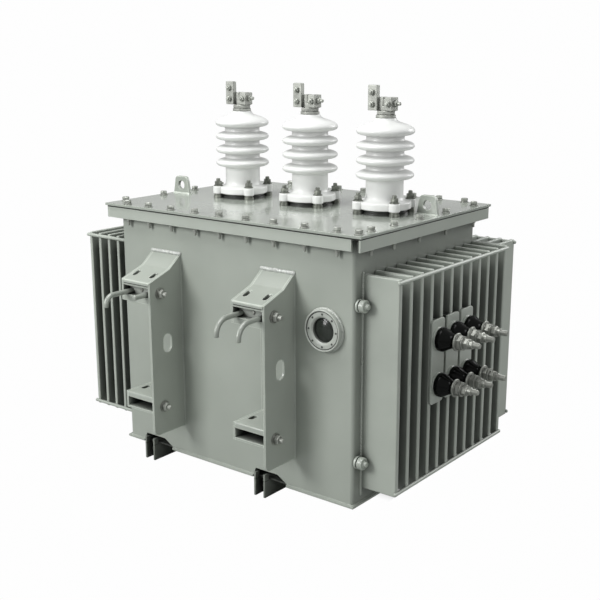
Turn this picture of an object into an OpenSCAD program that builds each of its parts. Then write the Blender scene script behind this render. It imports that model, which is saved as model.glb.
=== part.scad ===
// Three-phase oil-filled distribution transformer for hanging on a pole.
// Millimetres, +Z up, the front wall with the hanger brackets faces -Y.

/* [Tank] */
// Width of the tank across the front wall
tank_w = 748; // [500:1:1000]
// Depth of the tank from front wall to back wall
tank_d = 536; // [400:1:800]
// Height of the walls above the base plate
wall_h = 634; // [450:1:900]
// Thickness of the wall sheet
wall_t = 5; // [3:0.5:10]
// Thickness of the base plate
base_t = 6; // [4:0.5:12]
// How far the base plate stands proud of the walls
base_lip = 5; // [2:0.5:12]
// Height of the two rails under the base plate
rail_h = 46; // [30:1:80]
// Outside width of one rail
rail_w = 36; // [24:1:80]
// Thickness of the rail plates
rail_t = 6; // [3:0.5:10]
// How far the rails reach out in front of and behind the walls
rail_reach = 8; // [0:1:30]
// Distance of the left rail from the left wall
rail_edge_left = 81; // [40:1:160]
// Distance of the right rail from the right wall
rail_edge_right = 277; // [160:1:330]

/* [Cover] */
// How far the cover stands out beyond the side walls
cover_over_x = 33; // [25:1:60]
// How far the cover stands out beyond the front and back walls
cover_over_y = 25; // [20:1:60]
// Thickness of the cover plate
cover_t = 6; // [4:0.5:12]
// Thickness of the cover gasket
gasket_t = 4; // [2:0.5:8]
// Step from the cover edge back to the rim
rim_step = 4; // [2:0.5:10]
// Height of the rim lip
rim_h = 27; // [18:1:50]
// Thickness of the rim steel
rim_t = 5; // [3:0.5:8]
// Open gap at the end of the front and back rim lips
rim_gap = 20; // [10:1:40]
// How far the gasket reaches inside the walls
gasket_in = 15; // [5:1:30]
// Width of a lifting lug at its foot
lug_w = 60; // [40:1:90]
// Width of a lifting lug at its top
lug_top_w = 42; // [28:1:60]
// Height of a lifting lug
lug_h = 48; // [35:1:80]
// Thickness of a lifting lug
lug_t = 10; // [6:0.5:16]
// Radius of the hole in a lifting lug
lug_hole_r = 12; // [8:0.5:20]
// Distance of the lugs from the side walls
lug_edge = 6; // [2:1:150]
// Distance of the lugs from the tank centre front to back
lug_y = 45; // [0:1:150]

/* [High voltage bushings] */
// Distance between neighbouring bushings
hv_pitch = 229; // [180:1:260]
// Offset of the middle bushing to the right
hv_x = 36; // [-40:1:60]
// Offset of the bushing row to the back
hv_y = 10; // [-60:1:60]
// Turn of the flange lugs about the bushing
hv_turn = -36; // [-90:1:90]
// Height of the metal ring under the porcelain flange
hv_ring_h = 12; // [6:1:20]
// Radius of the metal ring
hv_ring_r = 58; // [50:1:64]
// Radius of the porcelain flange
hv_flange_r = 66; // [60:1:75]
// Height of the porcelain flange
hv_flange_h = 18; // [12:1:30]
// Radius of the circle of flange lugs
hv_lug_pcr = 68; // [60:1:78]
// Radius of one flange lug
hv_lug_r = 14; // [10:1:18]
// Radius of the bolt hole in a flange lug
hv_bolt_r = 6.5; // [4:0.5:8]
// Radius of the porcelain barrel
hv_barrel_r = 46; // [35:1:52]
// Radius of the sheds
hv_shed_r = 71; // [58:1:80]
// Height of the lowest shed centre above the flange
hv_shed_z = 63; // [45:1:90]
// Distance between neighbouring sheds
hv_shed_pitch = 35; // [25:1:45]
// Thickness of a shed at its rim
hv_shed_t = 11; // [6:1:16]
// Radius of the porcelain neck
hv_neck_r = 25; // [18:1:30]
// Height of the neck above the top shed
hv_neck_h = 31; // [20:1:45]
// Radius of the terminal nut
hv_nut_r = 24; // [15:1:26]
// Height of the terminal nut
hv_nut_h = 17; // [10:1:25]
// Height of the clamp block
hv_clamp_h = 32; // [24:1:50]
// Depth of the clamp block
hv_clamp_d = 30; // [20:1:40]
// Twice the reach of the clamp block to the left of the bushing centre
hv_clamp_x = 34; // [26:1:44]
// Reach of the clamp block to the right of the bushing centre
hv_clamp_right = 25; // [18:1:44]
// Width of the slot in the clamp block
hv_slot_w = 10; // [5:1:14]
// Width of the upright pad
hv_pad_w = 26; // [18:1:36]
// Height of the upright pad
hv_pad_h = 60; // [45:1:80]
// Depth of the upright pad
hv_pad_d = 14; // [8:1:20]

/* [Right cooling fins] */
// Number of fins on the right wall
fin_n = 12; // [6:1:16]
// Thickness of one fin
fin_t = 13; // [8:1:18]
// Reach of the fins from the right wall
fin_reach = 97; // [60:1:160]
// Clearance between the fin tops and the top of the walls
fin_head = 86; // [60:1:260]
// Height of the fin bottoms above the tank bottom
fin_z = 42; // [20:1:80]
// Set-back of the first fin from the front wall
fin_setback = 32; // [20:1:60]
// Radius of the rods along the fins
rod_r = 4.5; // [3:0.5:8]
// Distance of the rods from the ends of the fins
rod_inset = 8; // [6:0.5:20]
// How far the rods stand out past the last fins
rod_proud = 5; // [2:1:12]

/* [Left panels and rear fins] */
// Number of panels on the left wall
panel_n = 4; // [2:1:6]
// Distance between neighbouring panels
panel_pitch = 36; // [26:1:50]
// Thickness of one panel
panel_t = 10; // [6:1:16]
// Height of the panels
panel_h = 496; // [300:1:540]
// Step from the tank corners back to the panel ends
panel_inset = 18; // [10:1:60]
// Radius of the header pipes
header_r = 24; // [15:1:32]
// Distance of the headers from the panel ends
header_inset = 48; // [36:1:90]
// Distance of the headers from the tank centre front to back
header_y = 150; // [60:1:200]
// Number of rear fins
rear_n = 26; // [12:1:30]
// How far the rear fin bank stands out beyond the side walls
rear_over = 75; // [10:1:90]
// Height of the rear fins
rear_h = 485; // [300:1:540]
// Reach of the rear bank from the back wall
rear_reach = 84; // [60:1:140]
// Thickness of the rear carrier sheet
rear_sheet_t = 5; // [3:0.5:10]

/* [Hanger brackets] */
// Distance of the left bracket from the left wall
bracket_edge_left = 162; // [110:1:180]
// Distance of the right bracket from the right wall
bracket_edge_right = 219; // [190:1:240]
// Width of a bracket
bracket_w = 100; // [80:1:140]
// Reach of a bracket from the front wall
bracket_d = 110; // [85:1:150]
// Thickness of the bracket plates
bracket_t = 6; // [4:0.5:10]
// Height of the bracket bottoms above the tank bottom
bracket_z = 82; // [60:1:120]
// Clearance between the bracket tops and the top of the walls
bracket_head = 102; // [60:1:200]
// Drop of the steep part of the top plate
top_drop_a = 32; // [15:1:50]
// Length of the steep part of the top plate
top_run_a = 40; // [25:1:55]
// Drop of the gentle part of the top plate
top_drop_b = 24; // [5:1:40]
// Height of the folded front lips
lip_h = 14; // [8:1:24]
// Height of the box opening behind the upper lip
box_gap = 24; // [20:1:50]
// Height of the plate strip under the upper opening
box_strip_h = 16; // [8:1:24]
// Height of the shelf top above the tank bottom
shelf_z = 186; // [150:1:240]
// Height of the opening behind the shelf lip
shelf_gap = 24; // [14:1:40]
// Width of the strip on the wall between the two boxes
web_strip = 18; // [12:1:40]
// Half of the width of the oblong hole in the side plate
side_hole_r = 15; // [8:0.5:26]
// Height of the oblong hole
side_hole_h = 49; // [32:1:70]
// Height of the middle of that hole above the tank bottom
side_hole_z = 319; // [260:1:380]
// Size of the cut lower corner of the side plate
corner_cut = 14; // [6:1:24]
// Length of the adjusting slots
slot_l = 27; // [20:1:50]
// Width of the adjusting slots
slot_w = 13; // [6:1:16]
// Distance of the slots from the bracket centre
slot_x = 30; // [18:1:36]
// Radius of the hook rods
hook_r = 6.5; // [4:0.5:8]
// Bend radius of the hook rods
hook_bend = 36; // [20:1:60]
// Straight tail of the hook rods below the bend
hook_tail = 4; // [2:1:30]
// Reach of the hooks in front of the bracket
hook_reach = 76; // [50:1:100]
// Reach of the straight rod in front of the left bracket
stub_reach = 37; // [20:1:60]
// Distance of the hooks from the bracket centre
hook_x = 33; // [20:1:36]

/* [Fittings] */
// Distance of the oil sight gauge from the right wall
gauge_edge = 80; // [62:1:100]
// Clearance between the gauge centre and the top of the walls
gauge_head = 221; // [120:1:320]
// Radius of the gauge flange
gauge_r = 53; // [44:1:60]
// Thickness of the gauge flange
gauge_t = 8; // [5:1:14]
// Radius of the gauge ring
gauge_ring_r = 48; // [40:1:52]
// Thickness of the gauge ring
gauge_ring_t = 7; // [4:1:12]
// Radius of the sight opening
gauge_open_r = 30; // [24:1:34]
// Radius of the gauge glass
gauge_glass_r = 33; // [27:1:38]
// Thickness of the gauge glass
gauge_glass_t = 6; // [3:1:8]
// Set-back of the earth bosses from the front wall
earth_setback = 16; // [16:1:20]
// Height of the upper earth boss above the tank bottom
earth_z_top = 485; // [400:1:540]
// Height of the lower earth boss above the tank bottom
earth_z_low = 111; // [60:1:200]
// Radius of the earth boss pad
earth_pad_r = 15.5; // [10:0.5:16]
// Radius of the earth boss
earth_r = 15; // [8:0.5:15.5]
// Radius of the pin at the end of the earth boss
earth_pin_r = 7; // [4:0.5:10]
// Length of that pin
earth_pin_l = 8; // [5:1:16]
// Length of the earth boss with its pad
earth_l = 21; // [14:1:30]
// Thickness of the earth boss pad
earth_pad_t = 5; // [3:1:8]

/* [Low voltage terminals] */
// Fin in front of the first low voltage plate, counted from nought
lv_fin = 3; // [1:1:5]
// Width of one plate
lv_plate_w = 57; // [45:1:62]
// Thickness of the plates
lv_plate_t = 6; // [4:1:12]
// Height of the plates
lv_plate_h = 205; // [160:1:260]
// Height of the plate bottoms above the tank bottom
lv_plate_z = 228; // [160:1:280]
// Step from the plate edges back to the ducts
lv_duct_step = 5; // [3:1:10]
// Space between the ducts and the fins
lv_clear = 3; // [2:0.5:8]
// Distance of the upper and lower bushings from the plate ends
lv_row_inset = 47; // [38:1:60]
// Radius of the base ring of a bushing
lv_ring_r = 28; // [20:1:30]
// Length of the base ring
lv_ring_l = 6; // [3:1:10]
// Radius of the insulator at its foot
lv_foot_r = 29; // [18:1:31]
// Radius of the insulator at its end
lv_end_r = 16; // [10:1:20]
// Length of the straight foot of the insulator
lv_foot_l = 12; // [6:1:20]
// Length of the tapered part of the insulator
lv_cone_l = 30; // [20:1:50]
// Radius of the terminal washer
lv_washer_r = 20; // [12:1:22]
// Length of the washer and nuts
lv_nut_l = 34; // [20:1:50]
// Radius of the terminal nuts
lv_nut_r = 14; // [10:1:18]
// Radius of the terminal stud
lv_stud_r = 6; // [4:0.5:8]
// Length of the stud beyond the nuts
lv_stud_l = 28; // [12:1:40]

/* [Hidden] */
// Smoothness of round faces
$fn = 48;
// Tank levels
tank_z = rail_h;
wall_z = tank_z + base_t;
wall_top = wall_z + wall_h;
cover_z = wall_top + gasket_t;
cover_top = cover_z + cover_t;
// Half sizes of the tank, the rim and the cover
tx = tank_w / 2;
ty = tank_d / 2;
cover_x = tx + cover_over_x;
cover_y = ty + cover_over_y;
rim_x = cover_x - rim_step;
rim_y = cover_y - rim_step;
// Bushing levels
hv_ring_z = cover_top;
hv_flange_z = hv_ring_z + hv_ring_h;
hv_barrel_z = hv_flange_z + hv_flange_h;
hv_top_shed = hv_barrel_z + hv_shed_z + 3 * hv_shed_pitch;
hv_top_z = hv_top_shed + hv_neck_h;
hv_clamp_z = hv_top_z + hv_nut_h;
// Right fin positions
fin_low = tank_z + fin_z;
fin_top = wall_top - fin_head;
fin_first = -ty + fin_setback;
fin_pitch = (ty - fin_t - fin_first) / (fin_n - 1);
fin_out = tx + fin_reach;
// Left panel and rear fin positions
panel_top = fin_top;
panel_low = panel_top - panel_h;
rear_low = panel_top - rear_h;
panel_d = tank_d - 2 * panel_inset;
panel_out = tx + (panel_n + 0.5) * panel_pitch;
rear_out = ty + rear_reach;
rear_y0 = ty + rear_sheet_t;
rear_half = tx + rear_over;
rear_pitch = (2 * rear_half - panel_t) / (rear_n - 1);
// Places across the tank, measured from its walls
rail_x_left = -tx + rail_edge_left;
rail_x_right = tx - rail_edge_right;
bracket_x_left = -tx + bracket_edge_left;
bracket_x_right = tx - bracket_edge_right;
lug_x = tx - lug_edge;
gauge_x = tx - gauge_edge;
gauge_mid = wall_top - gauge_head;
// Bracket levels
br_low = tank_z + bracket_z;
br_top = wall_top - bracket_head;
br_mid = br_top - top_drop_a;
br_front = br_mid - top_drop_b;
br_in = bracket_w / 2 - bracket_t;
box_top = br_front - lip_h;
box_low = box_top - box_gap;
strip_low = box_low - box_strip_h;
shelf_top = tank_z + shelf_z;
shelf_open = shelf_top - lip_h;
shelf_low = shelf_open - shelf_gap;
hook_z = box_low + hook_r;
// Low voltage places, the outer plates over gaps between fins
lv_pitch = fin_pitch * 1.5;
lv_y = fin_first + (lv_fin + 2) * fin_pitch + fin_t / 2;
lv_low = tank_z + lv_plate_z;
lv_top = lv_low + lv_plate_h;
lv_face = fin_out + lv_plate_t;
lv_tip = lv_face + lv_ring_l + lv_foot_l + lv_cone_l + lv_nut_l + lv_stud_l;
// Half of the space between two fins, cut from one fin for the middle duct
lv_half = (fin_pitch - fin_t) / 2;
// Shift that puts the middle of the outline over the origin
x_mid = (lv_tip - panel_out) / 2;
y_mid = (rear_out + rod_r - ty - bracket_d - hook_reach) / 2;

// Puts a piece drawn about the tank centre into the frame of the part
module place() {
  translate([-x_mid, -y_mid, 0]) children();
}

// Box between two corners
module block(a, b) {
  translate(a) cube(b - a);
}

// Round bar along X from x0 to x1
module bar_x(x0, x1, y, z, r) {
  translate([x0, y, z]) rotate([0, 90, 0]) cylinder(h = x1 - x0, r = r);
}

// Round bar along Y from y0 to y1
module bar_y(x, y0, y1, z, r) {
  translate([x, y1, z]) rotate([90, 0, 0]) cylinder(h = y1 - y0, r = r);
}

// Front wall with the opening behind the sight gauge
module front_wall() {
  color("DarkSeaGreen") place() difference() {
    block([-tx, -ty, wall_z], [tx, -ty + wall_t, wall_top]);
    bar_y(gauge_x, -ty - 1, -ty + wall_t + 1, gauge_mid, gauge_open_r);
  }
}

// Back wall
module back_wall() {
  color("DarkSeaGreen") place()
    block([-tx, ty - wall_t, wall_z], [tx, ty, wall_top]);
}

// Left wall between the front and back walls
module left_wall() {
  color("DarkSeaGreen") place()
    block([-tx, -ty + wall_t, wall_z], [-tx + wall_t, ty - wall_t, wall_top]);
}

// Right wall between the front and back walls
module right_wall() {
  color("DarkSeaGreen") place()
    block([tx - wall_t, -ty + wall_t, wall_z], [tx, ty - wall_t, wall_top]);
}

// Base plate, a little proud of the walls
module base_plate() {
  color("DarkSeaGreen") place()
    block([-tx - base_lip, -ty - base_lip, tank_z], [tx + base_lip, ty + base_lip, wall_z]);
}

// Rail open below, running front to back under the base plate
module rail(x) {
  reach = ty + rail_reach;
  difference() {
    block([x - rail_w / 2, -reach, 0], [x + rail_w / 2, reach, tank_z]);
    block([x - rail_w / 2 + rail_t, -reach - 1, -1], [x + rail_w / 2 - rail_t, reach + 1, tank_z - rail_t]);
  }
}

module base_rail_left() {
  color("DarkSeaGreen") place() rail(rail_x_left);
}

module base_rail_right() {
  color("DarkSeaGreen") place() rail(rail_x_right);
}

// Angle rim along the front wall, its lip open at the right end
module rim_long() {
  block([-tx, -rim_y, wall_top - rim_t], [tx, -ty, wall_top]);
  block([-rim_x + rim_t, -rim_y, wall_top - rim_h], [rim_x - rim_t - rim_gap, -rim_y + rim_t, wall_top]);
}

// Angle rim along the right wall
module rim_short() {
  block([tx, -ty, wall_top - rim_t], [rim_x, ty, wall_top]);
  block([rim_x - rim_t, -rim_y, wall_top - rim_h], [rim_x, rim_y, wall_top]);
}

module rim_front() {
  color("DarkSeaGreen") place() rim_long();
}

module rim_back() {
  color("DarkSeaGreen") place() rotate([0, 0, 180]) rim_long();
}

module rim_right() {
  color("DarkSeaGreen") place() rim_short();
}

module rim_left() {
  color("DarkSeaGreen") place() rotate([0, 0, 180]) rim_short();
}

// Flat gasket frame between the rim and the cover
module cover_gasket() {
  color("DimGray") place() difference() {
    block([-rim_x, -rim_y, wall_top], [rim_x, rim_y, cover_z]);
    block([-tx + gasket_in, -ty + gasket_in, wall_top - 1], [tx - gasket_in, ty - gasket_in, cover_z + 1]);
  }
}

// Flat cover plate
module cover_plate() {
  color("DarkSeaGreen") place()
    block([-cover_x, -cover_y, cover_z], [cover_x, cover_y, cover_top]);
}

// Upright lifting plate with a round hole
module lug(x, y) {
  translate([x, y + lug_t / 2, cover_top]) rotate([90, 0, 0]) linear_extrude(lug_t) difference() {
    polygon([[-lug_w / 2, 0], [lug_w / 2, 0], [lug_top_w / 2, lug_h], [-lug_top_w / 2, lug_h]]);
    translate([0, lug_h - lug_hole_r * 2]) circle(r = lug_hole_r);
  }
}

module lifting_lug_left() {
  color("DarkSeaGreen") place() lug(-lug_x, -lug_y);
}

module lifting_lug_right() {
  color("DarkSeaGreen") place() lug(lug_x, lug_y);
}

// Stands a bushing piece at its place along the row
module at_hv(i) {
  place() translate([hv_x + i * hv_pitch, hv_y, 0]) children();
}

// Metal ring under the porcelain
module hv_ring() {
  translate([0, 0, hv_ring_z]) cylinder(h = hv_ring_h, r = hv_ring_r);
}

// Porcelain with a lugged flange and four sheds
module hv_porcelain() {
  difference() {
    union() {
      translate([0, 0, hv_flange_z]) cylinder(h = hv_flange_h, r = hv_flange_r);
      for (a = [0:90:270])
        rotate([0, 0, hv_turn + a])
          translate([hv_lug_pcr, 0, hv_flange_z]) cylinder(h = hv_flange_h, r = hv_lug_r);
      translate([0, 0, hv_barrel_z]) cylinder(h = hv_top_shed - hv_barrel_z, r = hv_barrel_r);
      for (i = [0:2])
        translate([0, 0, hv_top_shed - (3 - i) * hv_shed_pitch]) shed();
      top_shed();
    }
    for (a = [0:90:270])
      rotate([0, 0, hv_turn + a])
        translate([hv_lug_pcr, 0, hv_flange_z - 1]) cylinder(h = hv_flange_h + 2, r = hv_bolt_r);
  }
}

// One shed with sloping upper and lower faces
module shed() {
  half = hv_shed_t / 2;
  translate([0, 0, half]) cylinder(h = half, r1 = hv_shed_r, r2 = hv_barrel_r);
  translate([0, 0, -half]) cylinder(h = hv_shed_t, r = hv_shed_r);
  translate([0, 0, -hv_shed_t]) cylinder(h = half, r1 = hv_barrel_r, r2 = hv_shed_r);
}

// Top shed running up into the neck
module top_shed() {
  half = hv_shed_t / 2;
  translate([0, 0, hv_top_shed - hv_shed_t]) cylinder(h = half, r1 = hv_barrel_r, r2 = hv_shed_r);
  translate([0, 0, hv_top_shed - half]) cylinder(h = hv_shed_t, r = hv_shed_r);
  translate([0, 0, hv_top_shed + half]) cylinder(h = half * 3, r1 = hv_shed_r, r2 = hv_neck_r);
  translate([0, 0, hv_top_shed + half * 4]) cylinder(h = hv_neck_h - half * 4, r = hv_neck_r);
}

// Terminal: round nut, slotted clamp block and upright pad
module hv_terminal() {
  translate([0, 0, hv_top_z]) cylinder(h = hv_nut_h, r = hv_nut_r);
  difference() {
    block([-hv_clamp_x / 2, -hv_clamp_d / 2, hv_clamp_z],
      [hv_clamp_right, hv_clamp_d / 2, hv_clamp_z + hv_clamp_h]);
    block([-hv_slot_w / 2, -hv_clamp_d, hv_clamp_z + hv_clamp_h / 3],
      [hv_slot_w / 2, hv_clamp_d, hv_clamp_z + hv_clamp_h * 2]);
  }
  block([-hv_clamp_x / 2 - hv_pad_w, -hv_clamp_d / 2, hv_clamp_z],
    [-hv_clamp_x / 2, -hv_clamp_d / 2 + hv_pad_d, hv_clamp_z + hv_pad_h]);
}

module hv_ring_left() {
  color("DimGray") at_hv(-1) hv_ring();
}

module hv_ring_middle() {
  color("DimGray") at_hv(0) hv_ring();
}

module hv_ring_right() {
  color("DimGray") at_hv(1) hv_ring();
}

module hv_porcelain_left() {
  color("White") at_hv(-1) hv_porcelain();
}

module hv_porcelain_middle() {
  color("White") at_hv(0) hv_porcelain();
}

module hv_porcelain_right() {
  color("White") at_hv(1) hv_porcelain();
}

module hv_terminal_left() {
  color("Silver") at_hv(-1) hv_terminal();
}

module hv_terminal_middle() {
  color("Silver") at_hv(0) hv_terminal();
}

module hv_terminal_right() {
  color("Silver") at_hv(1) hv_terminal();
}

// Two rods along the outer edge of the right fins
module fin_rods() {
  for (z = [fin_low + rod_inset, fin_top - rod_inset])
    bar_y(fin_out, fin_first - rod_proud, ty + rod_proud, z, rod_r);
}

// Fins on the right wall, one of them cut away around the middle low voltage duct
module right_fins() {
  color("DarkSeaGreen") place() difference() {
    for (i = [0:fin_n - 1])
      block([tx, fin_first + i * fin_pitch, fin_low], [fin_out, fin_first + i * fin_pitch + fin_t, fin_top]);
    block([tx - 1, lv_y - lv_half, lv_low + lv_duct_step - lv_clear],
      [fin_out + 1, lv_y + lv_half, lv_top - lv_duct_step + lv_clear]);
    fin_rods();
  }
}

module right_fin_rods() {
  color("DarkSeaGreen") place() fin_rods();
}

// Rods along X at the front and back edges of the left panels
module panel_rods() {
  for (s = [-1, 1], z = [panel_low + rod_inset, panel_top - rod_inset])
    bar_x(-panel_out, -tx, s * panel_d / 2, z, rod_r);
}

// Panels beside the left wall
module left_panels() {
  color("DarkSeaGreen") place() difference() {
    for (i = [1:panel_n])
      block([-tx - i * panel_pitch - panel_t, -panel_d / 2, panel_low],
        [-tx - i * panel_pitch, panel_d / 2, panel_top]);
    panel_rods();
  }
}

module left_panel_rods() {
  color("DarkSeaGreen") place() panel_rods();
}

// Header pipes from the left wall through the gaps between the panels
module left_headers() {
  color("DarkSeaGreen") place()
    for (s = [-1, 1], z = [panel_low + header_inset, panel_top - header_inset]) {
      bar_x(-tx - panel_pitch, -tx, s * header_y, z, header_r);
      for (i = [1:panel_n - 1])
        bar_x(-tx - (i + 1) * panel_pitch, -tx - i * panel_pitch - panel_t, s * header_y, z, header_r);
    }
}

// Carrier sheet of the rear fins on the back wall
module rear_sheet() {
  color("DarkSeaGreen") place()
    block([-rear_half, ty, rear_low], [rear_half, rear_y0, panel_top]);
}

// Rods along X at the outer edge of the rear fins
module rear_rods() {
  for (z = [rear_low + rod_inset, panel_top - rod_inset])
    bar_x(-rear_half - rod_proud, rear_half + rod_proud, rear_out, z, rod_r);
}

// Fins standing on the carrier sheet
module rear_fins() {
  color("DarkSeaGreen") place() difference() {
    for (i = [0:rear_n - 1])
      block([-rear_half + i * rear_pitch, rear_y0, rear_low],
        [-rear_half + i * rear_pitch + panel_t, rear_out, panel_top]);
    rear_rods();
  }
}

module rear_fin_rods() {
  color("DarkSeaGreen") place() rear_rods();
}

// Stands a bracket piece at its place, x from the bracket centre, y from the wall
module at_left() {
  place() translate([bracket_x_left, -ty, 0]) children();
}

module at_right() {
  place() translate([bracket_x_right, -ty, 0]) children();
}

// Plate upright along the wall, its outline drawn as reach and height
module upright(x) {
  translate([x, 0, 0]) rotate([90, 0, 0]) rotate([0, -90, 0]) linear_extrude(bracket_t) children();
}

// Outline of the bracket seen from the side
module bracket_outline() {
  polygon([[0, br_low], [bracket_d - corner_cut, br_low],
    [bracket_d - corner_cut * 0.3, br_low + corner_cut * 0.3],
    [bracket_d, br_low + corner_cut], [bracket_d, br_front], [top_run_a, br_mid], [0, br_top]]);
}

// Upright oblong outline of the hole in the side plate
module oblong() {
  run = side_hole_h / 2 - side_hole_r;
  translate([-side_hole_r, -run]) square([2 * side_hole_r, 2 * run]);
  translate([0, -run]) circle(r = side_hole_r);
  translate([0, run]) circle(r = side_hole_r);
}

// Deep side plate with an oblong hole
module bracket_side() {
  upright(bracket_w / 2) difference() {
    bracket_outline();
    translate([bracket_d / 2, tank_z + side_hole_z]) oblong();
  }
}

// Side plate beside the two boxes, joined by a flat strip on the wall
module bracket_web() {
  upright(-br_in) difference() {
    bracket_outline();
    translate([-1, shelf_top]) square([bracket_d + 2, strip_low - shelf_top]);
    translate([-1, br_low - 1]) square([bracket_d + 2, shelf_low - bracket_t - br_low + 1]);
  }
  block([-bracket_w / 2, -bracket_t, shelf_top], [-bracket_w / 2 + web_strip, 0, strip_low]);
}

// Slot through a plate, running away from the wall
module slot(x, y, z0, z1) {
  run = (slot_l - slot_w) / 2;
  translate([x, -y, z0]) linear_extrude(z1 - z0) {
    translate([-slot_w / 2, -run]) square([slot_w, 2 * run]);
    translate([0, -run]) circle(d = slot_w);
    translate([0, run]) circle(d = slot_w);
  }
}

// Piece between the two upright plates, its outline drawn as reach and height
module between() {
  translate([br_in, 0, 0]) rotate([90, 0, 0]) rotate([0, -90, 0]) linear_extrude(2 * br_in) children();
}

// Bent top plate with lip and slots, and the strip under the box opening
module bracket_top() {
  mid = (top_run_a + bracket_d) / 2;
  difference() {
    between() polygon([[0, br_top], [0, br_top - bracket_t * 1.3], [top_run_a, br_mid - bracket_t * 1.2],
      [bracket_d - bracket_t, br_front - bracket_t], [bracket_d - bracket_t, box_top], [bracket_d, box_top],
      [bracket_d, br_front], [top_run_a, br_mid]]);
    for (s = [-1, 1])
      slot(s * slot_x, mid, box_top, br_top);
  }
  between() polygon([[0, box_low - bracket_t], [bracket_d - bracket_t, box_low - bracket_t],
    [bracket_d - bracket_t, strip_low], [bracket_d, strip_low], [bracket_d, box_low], [0, box_low]]);
}

// Lower shelf with lip, slots and a bottom plate
module bracket_shelf() {
  difference() {
    between() polygon([[0, shelf_top - bracket_t], [bracket_d - bracket_t, shelf_top - bracket_t],
      [bracket_d - bracket_t, shelf_open], [bracket_d, shelf_open], [bracket_d, shelf_top], [0, shelf_top]]);
    for (s = [-1, 1])
      slot(s * slot_x, bracket_d / 2 + bracket_t, shelf_top - 2 * bracket_t, shelf_top + 1);
  }
  between() polygon([[0, shelf_low - bracket_t], [bracket_d, shelf_low - bracket_t],
    [bracket_d, shelf_low], [0, shelf_low]]);
}

// Rod lying in the upper box, bent down in front of it
module hook(x) {
  straight = bracket_d + hook_reach - hook_bend - hook_r;
  translate([x, 0, hook_z]) {
    rotate([90, 0, 0]) cylinder(h = straight, r = hook_r);
    translate([0, -straight, -hook_bend]) rotate([0, 0, 180]) rotate([0, -90, 0])
      rotate_extrude(angle = 90) translate([hook_bend, 0]) circle(r = hook_r);
    translate([0, -straight - hook_bend, -hook_bend - hook_tail]) cylinder(h = hook_tail, r = hook_r);
  }
}

// Short straight rod lying in the upper box
module stub(x) {
  translate([x, 0, hook_z]) rotate([90, 0, 0]) cylinder(h = bracket_d + stub_reach, r = hook_r);
}

module bracket_left_side() {
  color("DarkSeaGreen") at_left() bracket_side();
}

module bracket_left_web() {
  color("DarkSeaGreen") at_left() bracket_web();
}

module bracket_left_top() {
  color("DarkSeaGreen") at_left() bracket_top();
}

module bracket_left_shelf() {
  color("DarkSeaGreen") at_left() bracket_shelf();
}

module bracket_left_hooks() {
  color("DarkSeaGreen") at_left() {
    hook(-hook_x);
    stub(hook_x);
  }
}

module bracket_right_side() {
  color("DarkSeaGreen") at_right() bracket_side();
}

module bracket_right_web() {
  color("DarkSeaGreen") at_right() bracket_web();
}

module bracket_right_top() {
  color("DarkSeaGreen") at_right() bracket_top();
}

module bracket_right_shelf() {
  color("DarkSeaGreen") at_right() bracket_shelf();
}

module bracket_right_hooks() {
  color("DarkSeaGreen") at_right() {
    hook(-hook_x);
    hook(hook_x);
  }
}

// Flange of the sight gauge on the front wall
module gauge_flange() {
  color("DarkSeaGreen") place() difference() {
    bar_y(gauge_x, -ty - gauge_t, -ty, gauge_mid, gauge_r);
    bar_y(gauge_x, -ty - gauge_t - 1, -ty + 1, gauge_mid, gauge_open_r);
    bar_y(gauge_x, -ty - gauge_t - 1, -ty - gauge_t + gauge_glass_t, gauge_mid, gauge_glass_r);
  }
}

// Ring that holds the glass
module gauge_ring() {
  face = -ty - gauge_t;
  color("DarkSeaGreen") place() difference() {
    bar_y(gauge_x, face - gauge_ring_t, face, gauge_mid, gauge_ring_r);
    bar_y(gauge_x, face - gauge_ring_t - 1, face + 1, gauge_mid, gauge_open_r);
  }
}

// Round glass in the recess of the flange
module gauge_glass() {
  face = -ty - gauge_t;
  color("LightBlue") place()
    bar_y(gauge_x, face, face + gauge_glass_t, gauge_mid, gauge_glass_r);
}

// Two earth bosses on the right wall beside the front corner
module earth_bosses() {
  color("Silver") place()
    for (z = [earth_z_low, earth_z_top]) {
      bar_x(tx, tx + earth_pad_t, -ty + earth_setback, tank_z + z, earth_pad_r);
      bar_x(tx + earth_pad_t, tx + earth_l, -ty + earth_setback, tank_z + z, earth_r);
      bar_x(tx + earth_l, tx + earth_l + earth_pin_l, -ty + earth_setback, tank_z + z, earth_pin_r);
    }
}

// Three ducts from the right wall out to the low voltage plates
module lv_ducts() {
  half = lv_half - lv_clear;
  color("DarkSeaGreen") place()
    for (i = [-1:1])
      block([tx, lv_y + i * lv_pitch - half, lv_low + lv_duct_step],
        [fin_out, lv_y + i * lv_pitch + half, lv_top - lv_duct_step]);
}

// Three upright plates on the ducts
module lv_plates() {
  half = lv_plate_w / 2;
  color("DarkSeaGreen") place()
    for (i = [-1:1])
      block([fin_out, lv_y + i * lv_pitch - half, lv_low], [lv_face, lv_y + i * lv_pitch + half, lv_top]);
}

// Repeats a bushing piece over the three plates and two rows
module lv_each() {
  for (i = [-1:1], z = [lv_low + lv_row_inset, lv_top - lv_row_inset])
    translate([lv_face, lv_y + i * lv_pitch, z]) rotate([0, 90, 0]) children();
}

// Base rings of the low voltage bushings
module lv_rings() {
  color("Silver") place() lv_each() cylinder(h = lv_ring_l, r = lv_ring_r);
}

// Tapered insulators
module lv_insulators() {
  color("Black") place() lv_each() {
    translate([0, 0, lv_ring_l]) cylinder(h = lv_foot_l, r = lv_foot_r);
    translate([0, 0, lv_ring_l + lv_foot_l]) cylinder(h = lv_cone_l, r1 = lv_foot_r, r2 = lv_end_r);
  }
}

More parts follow.
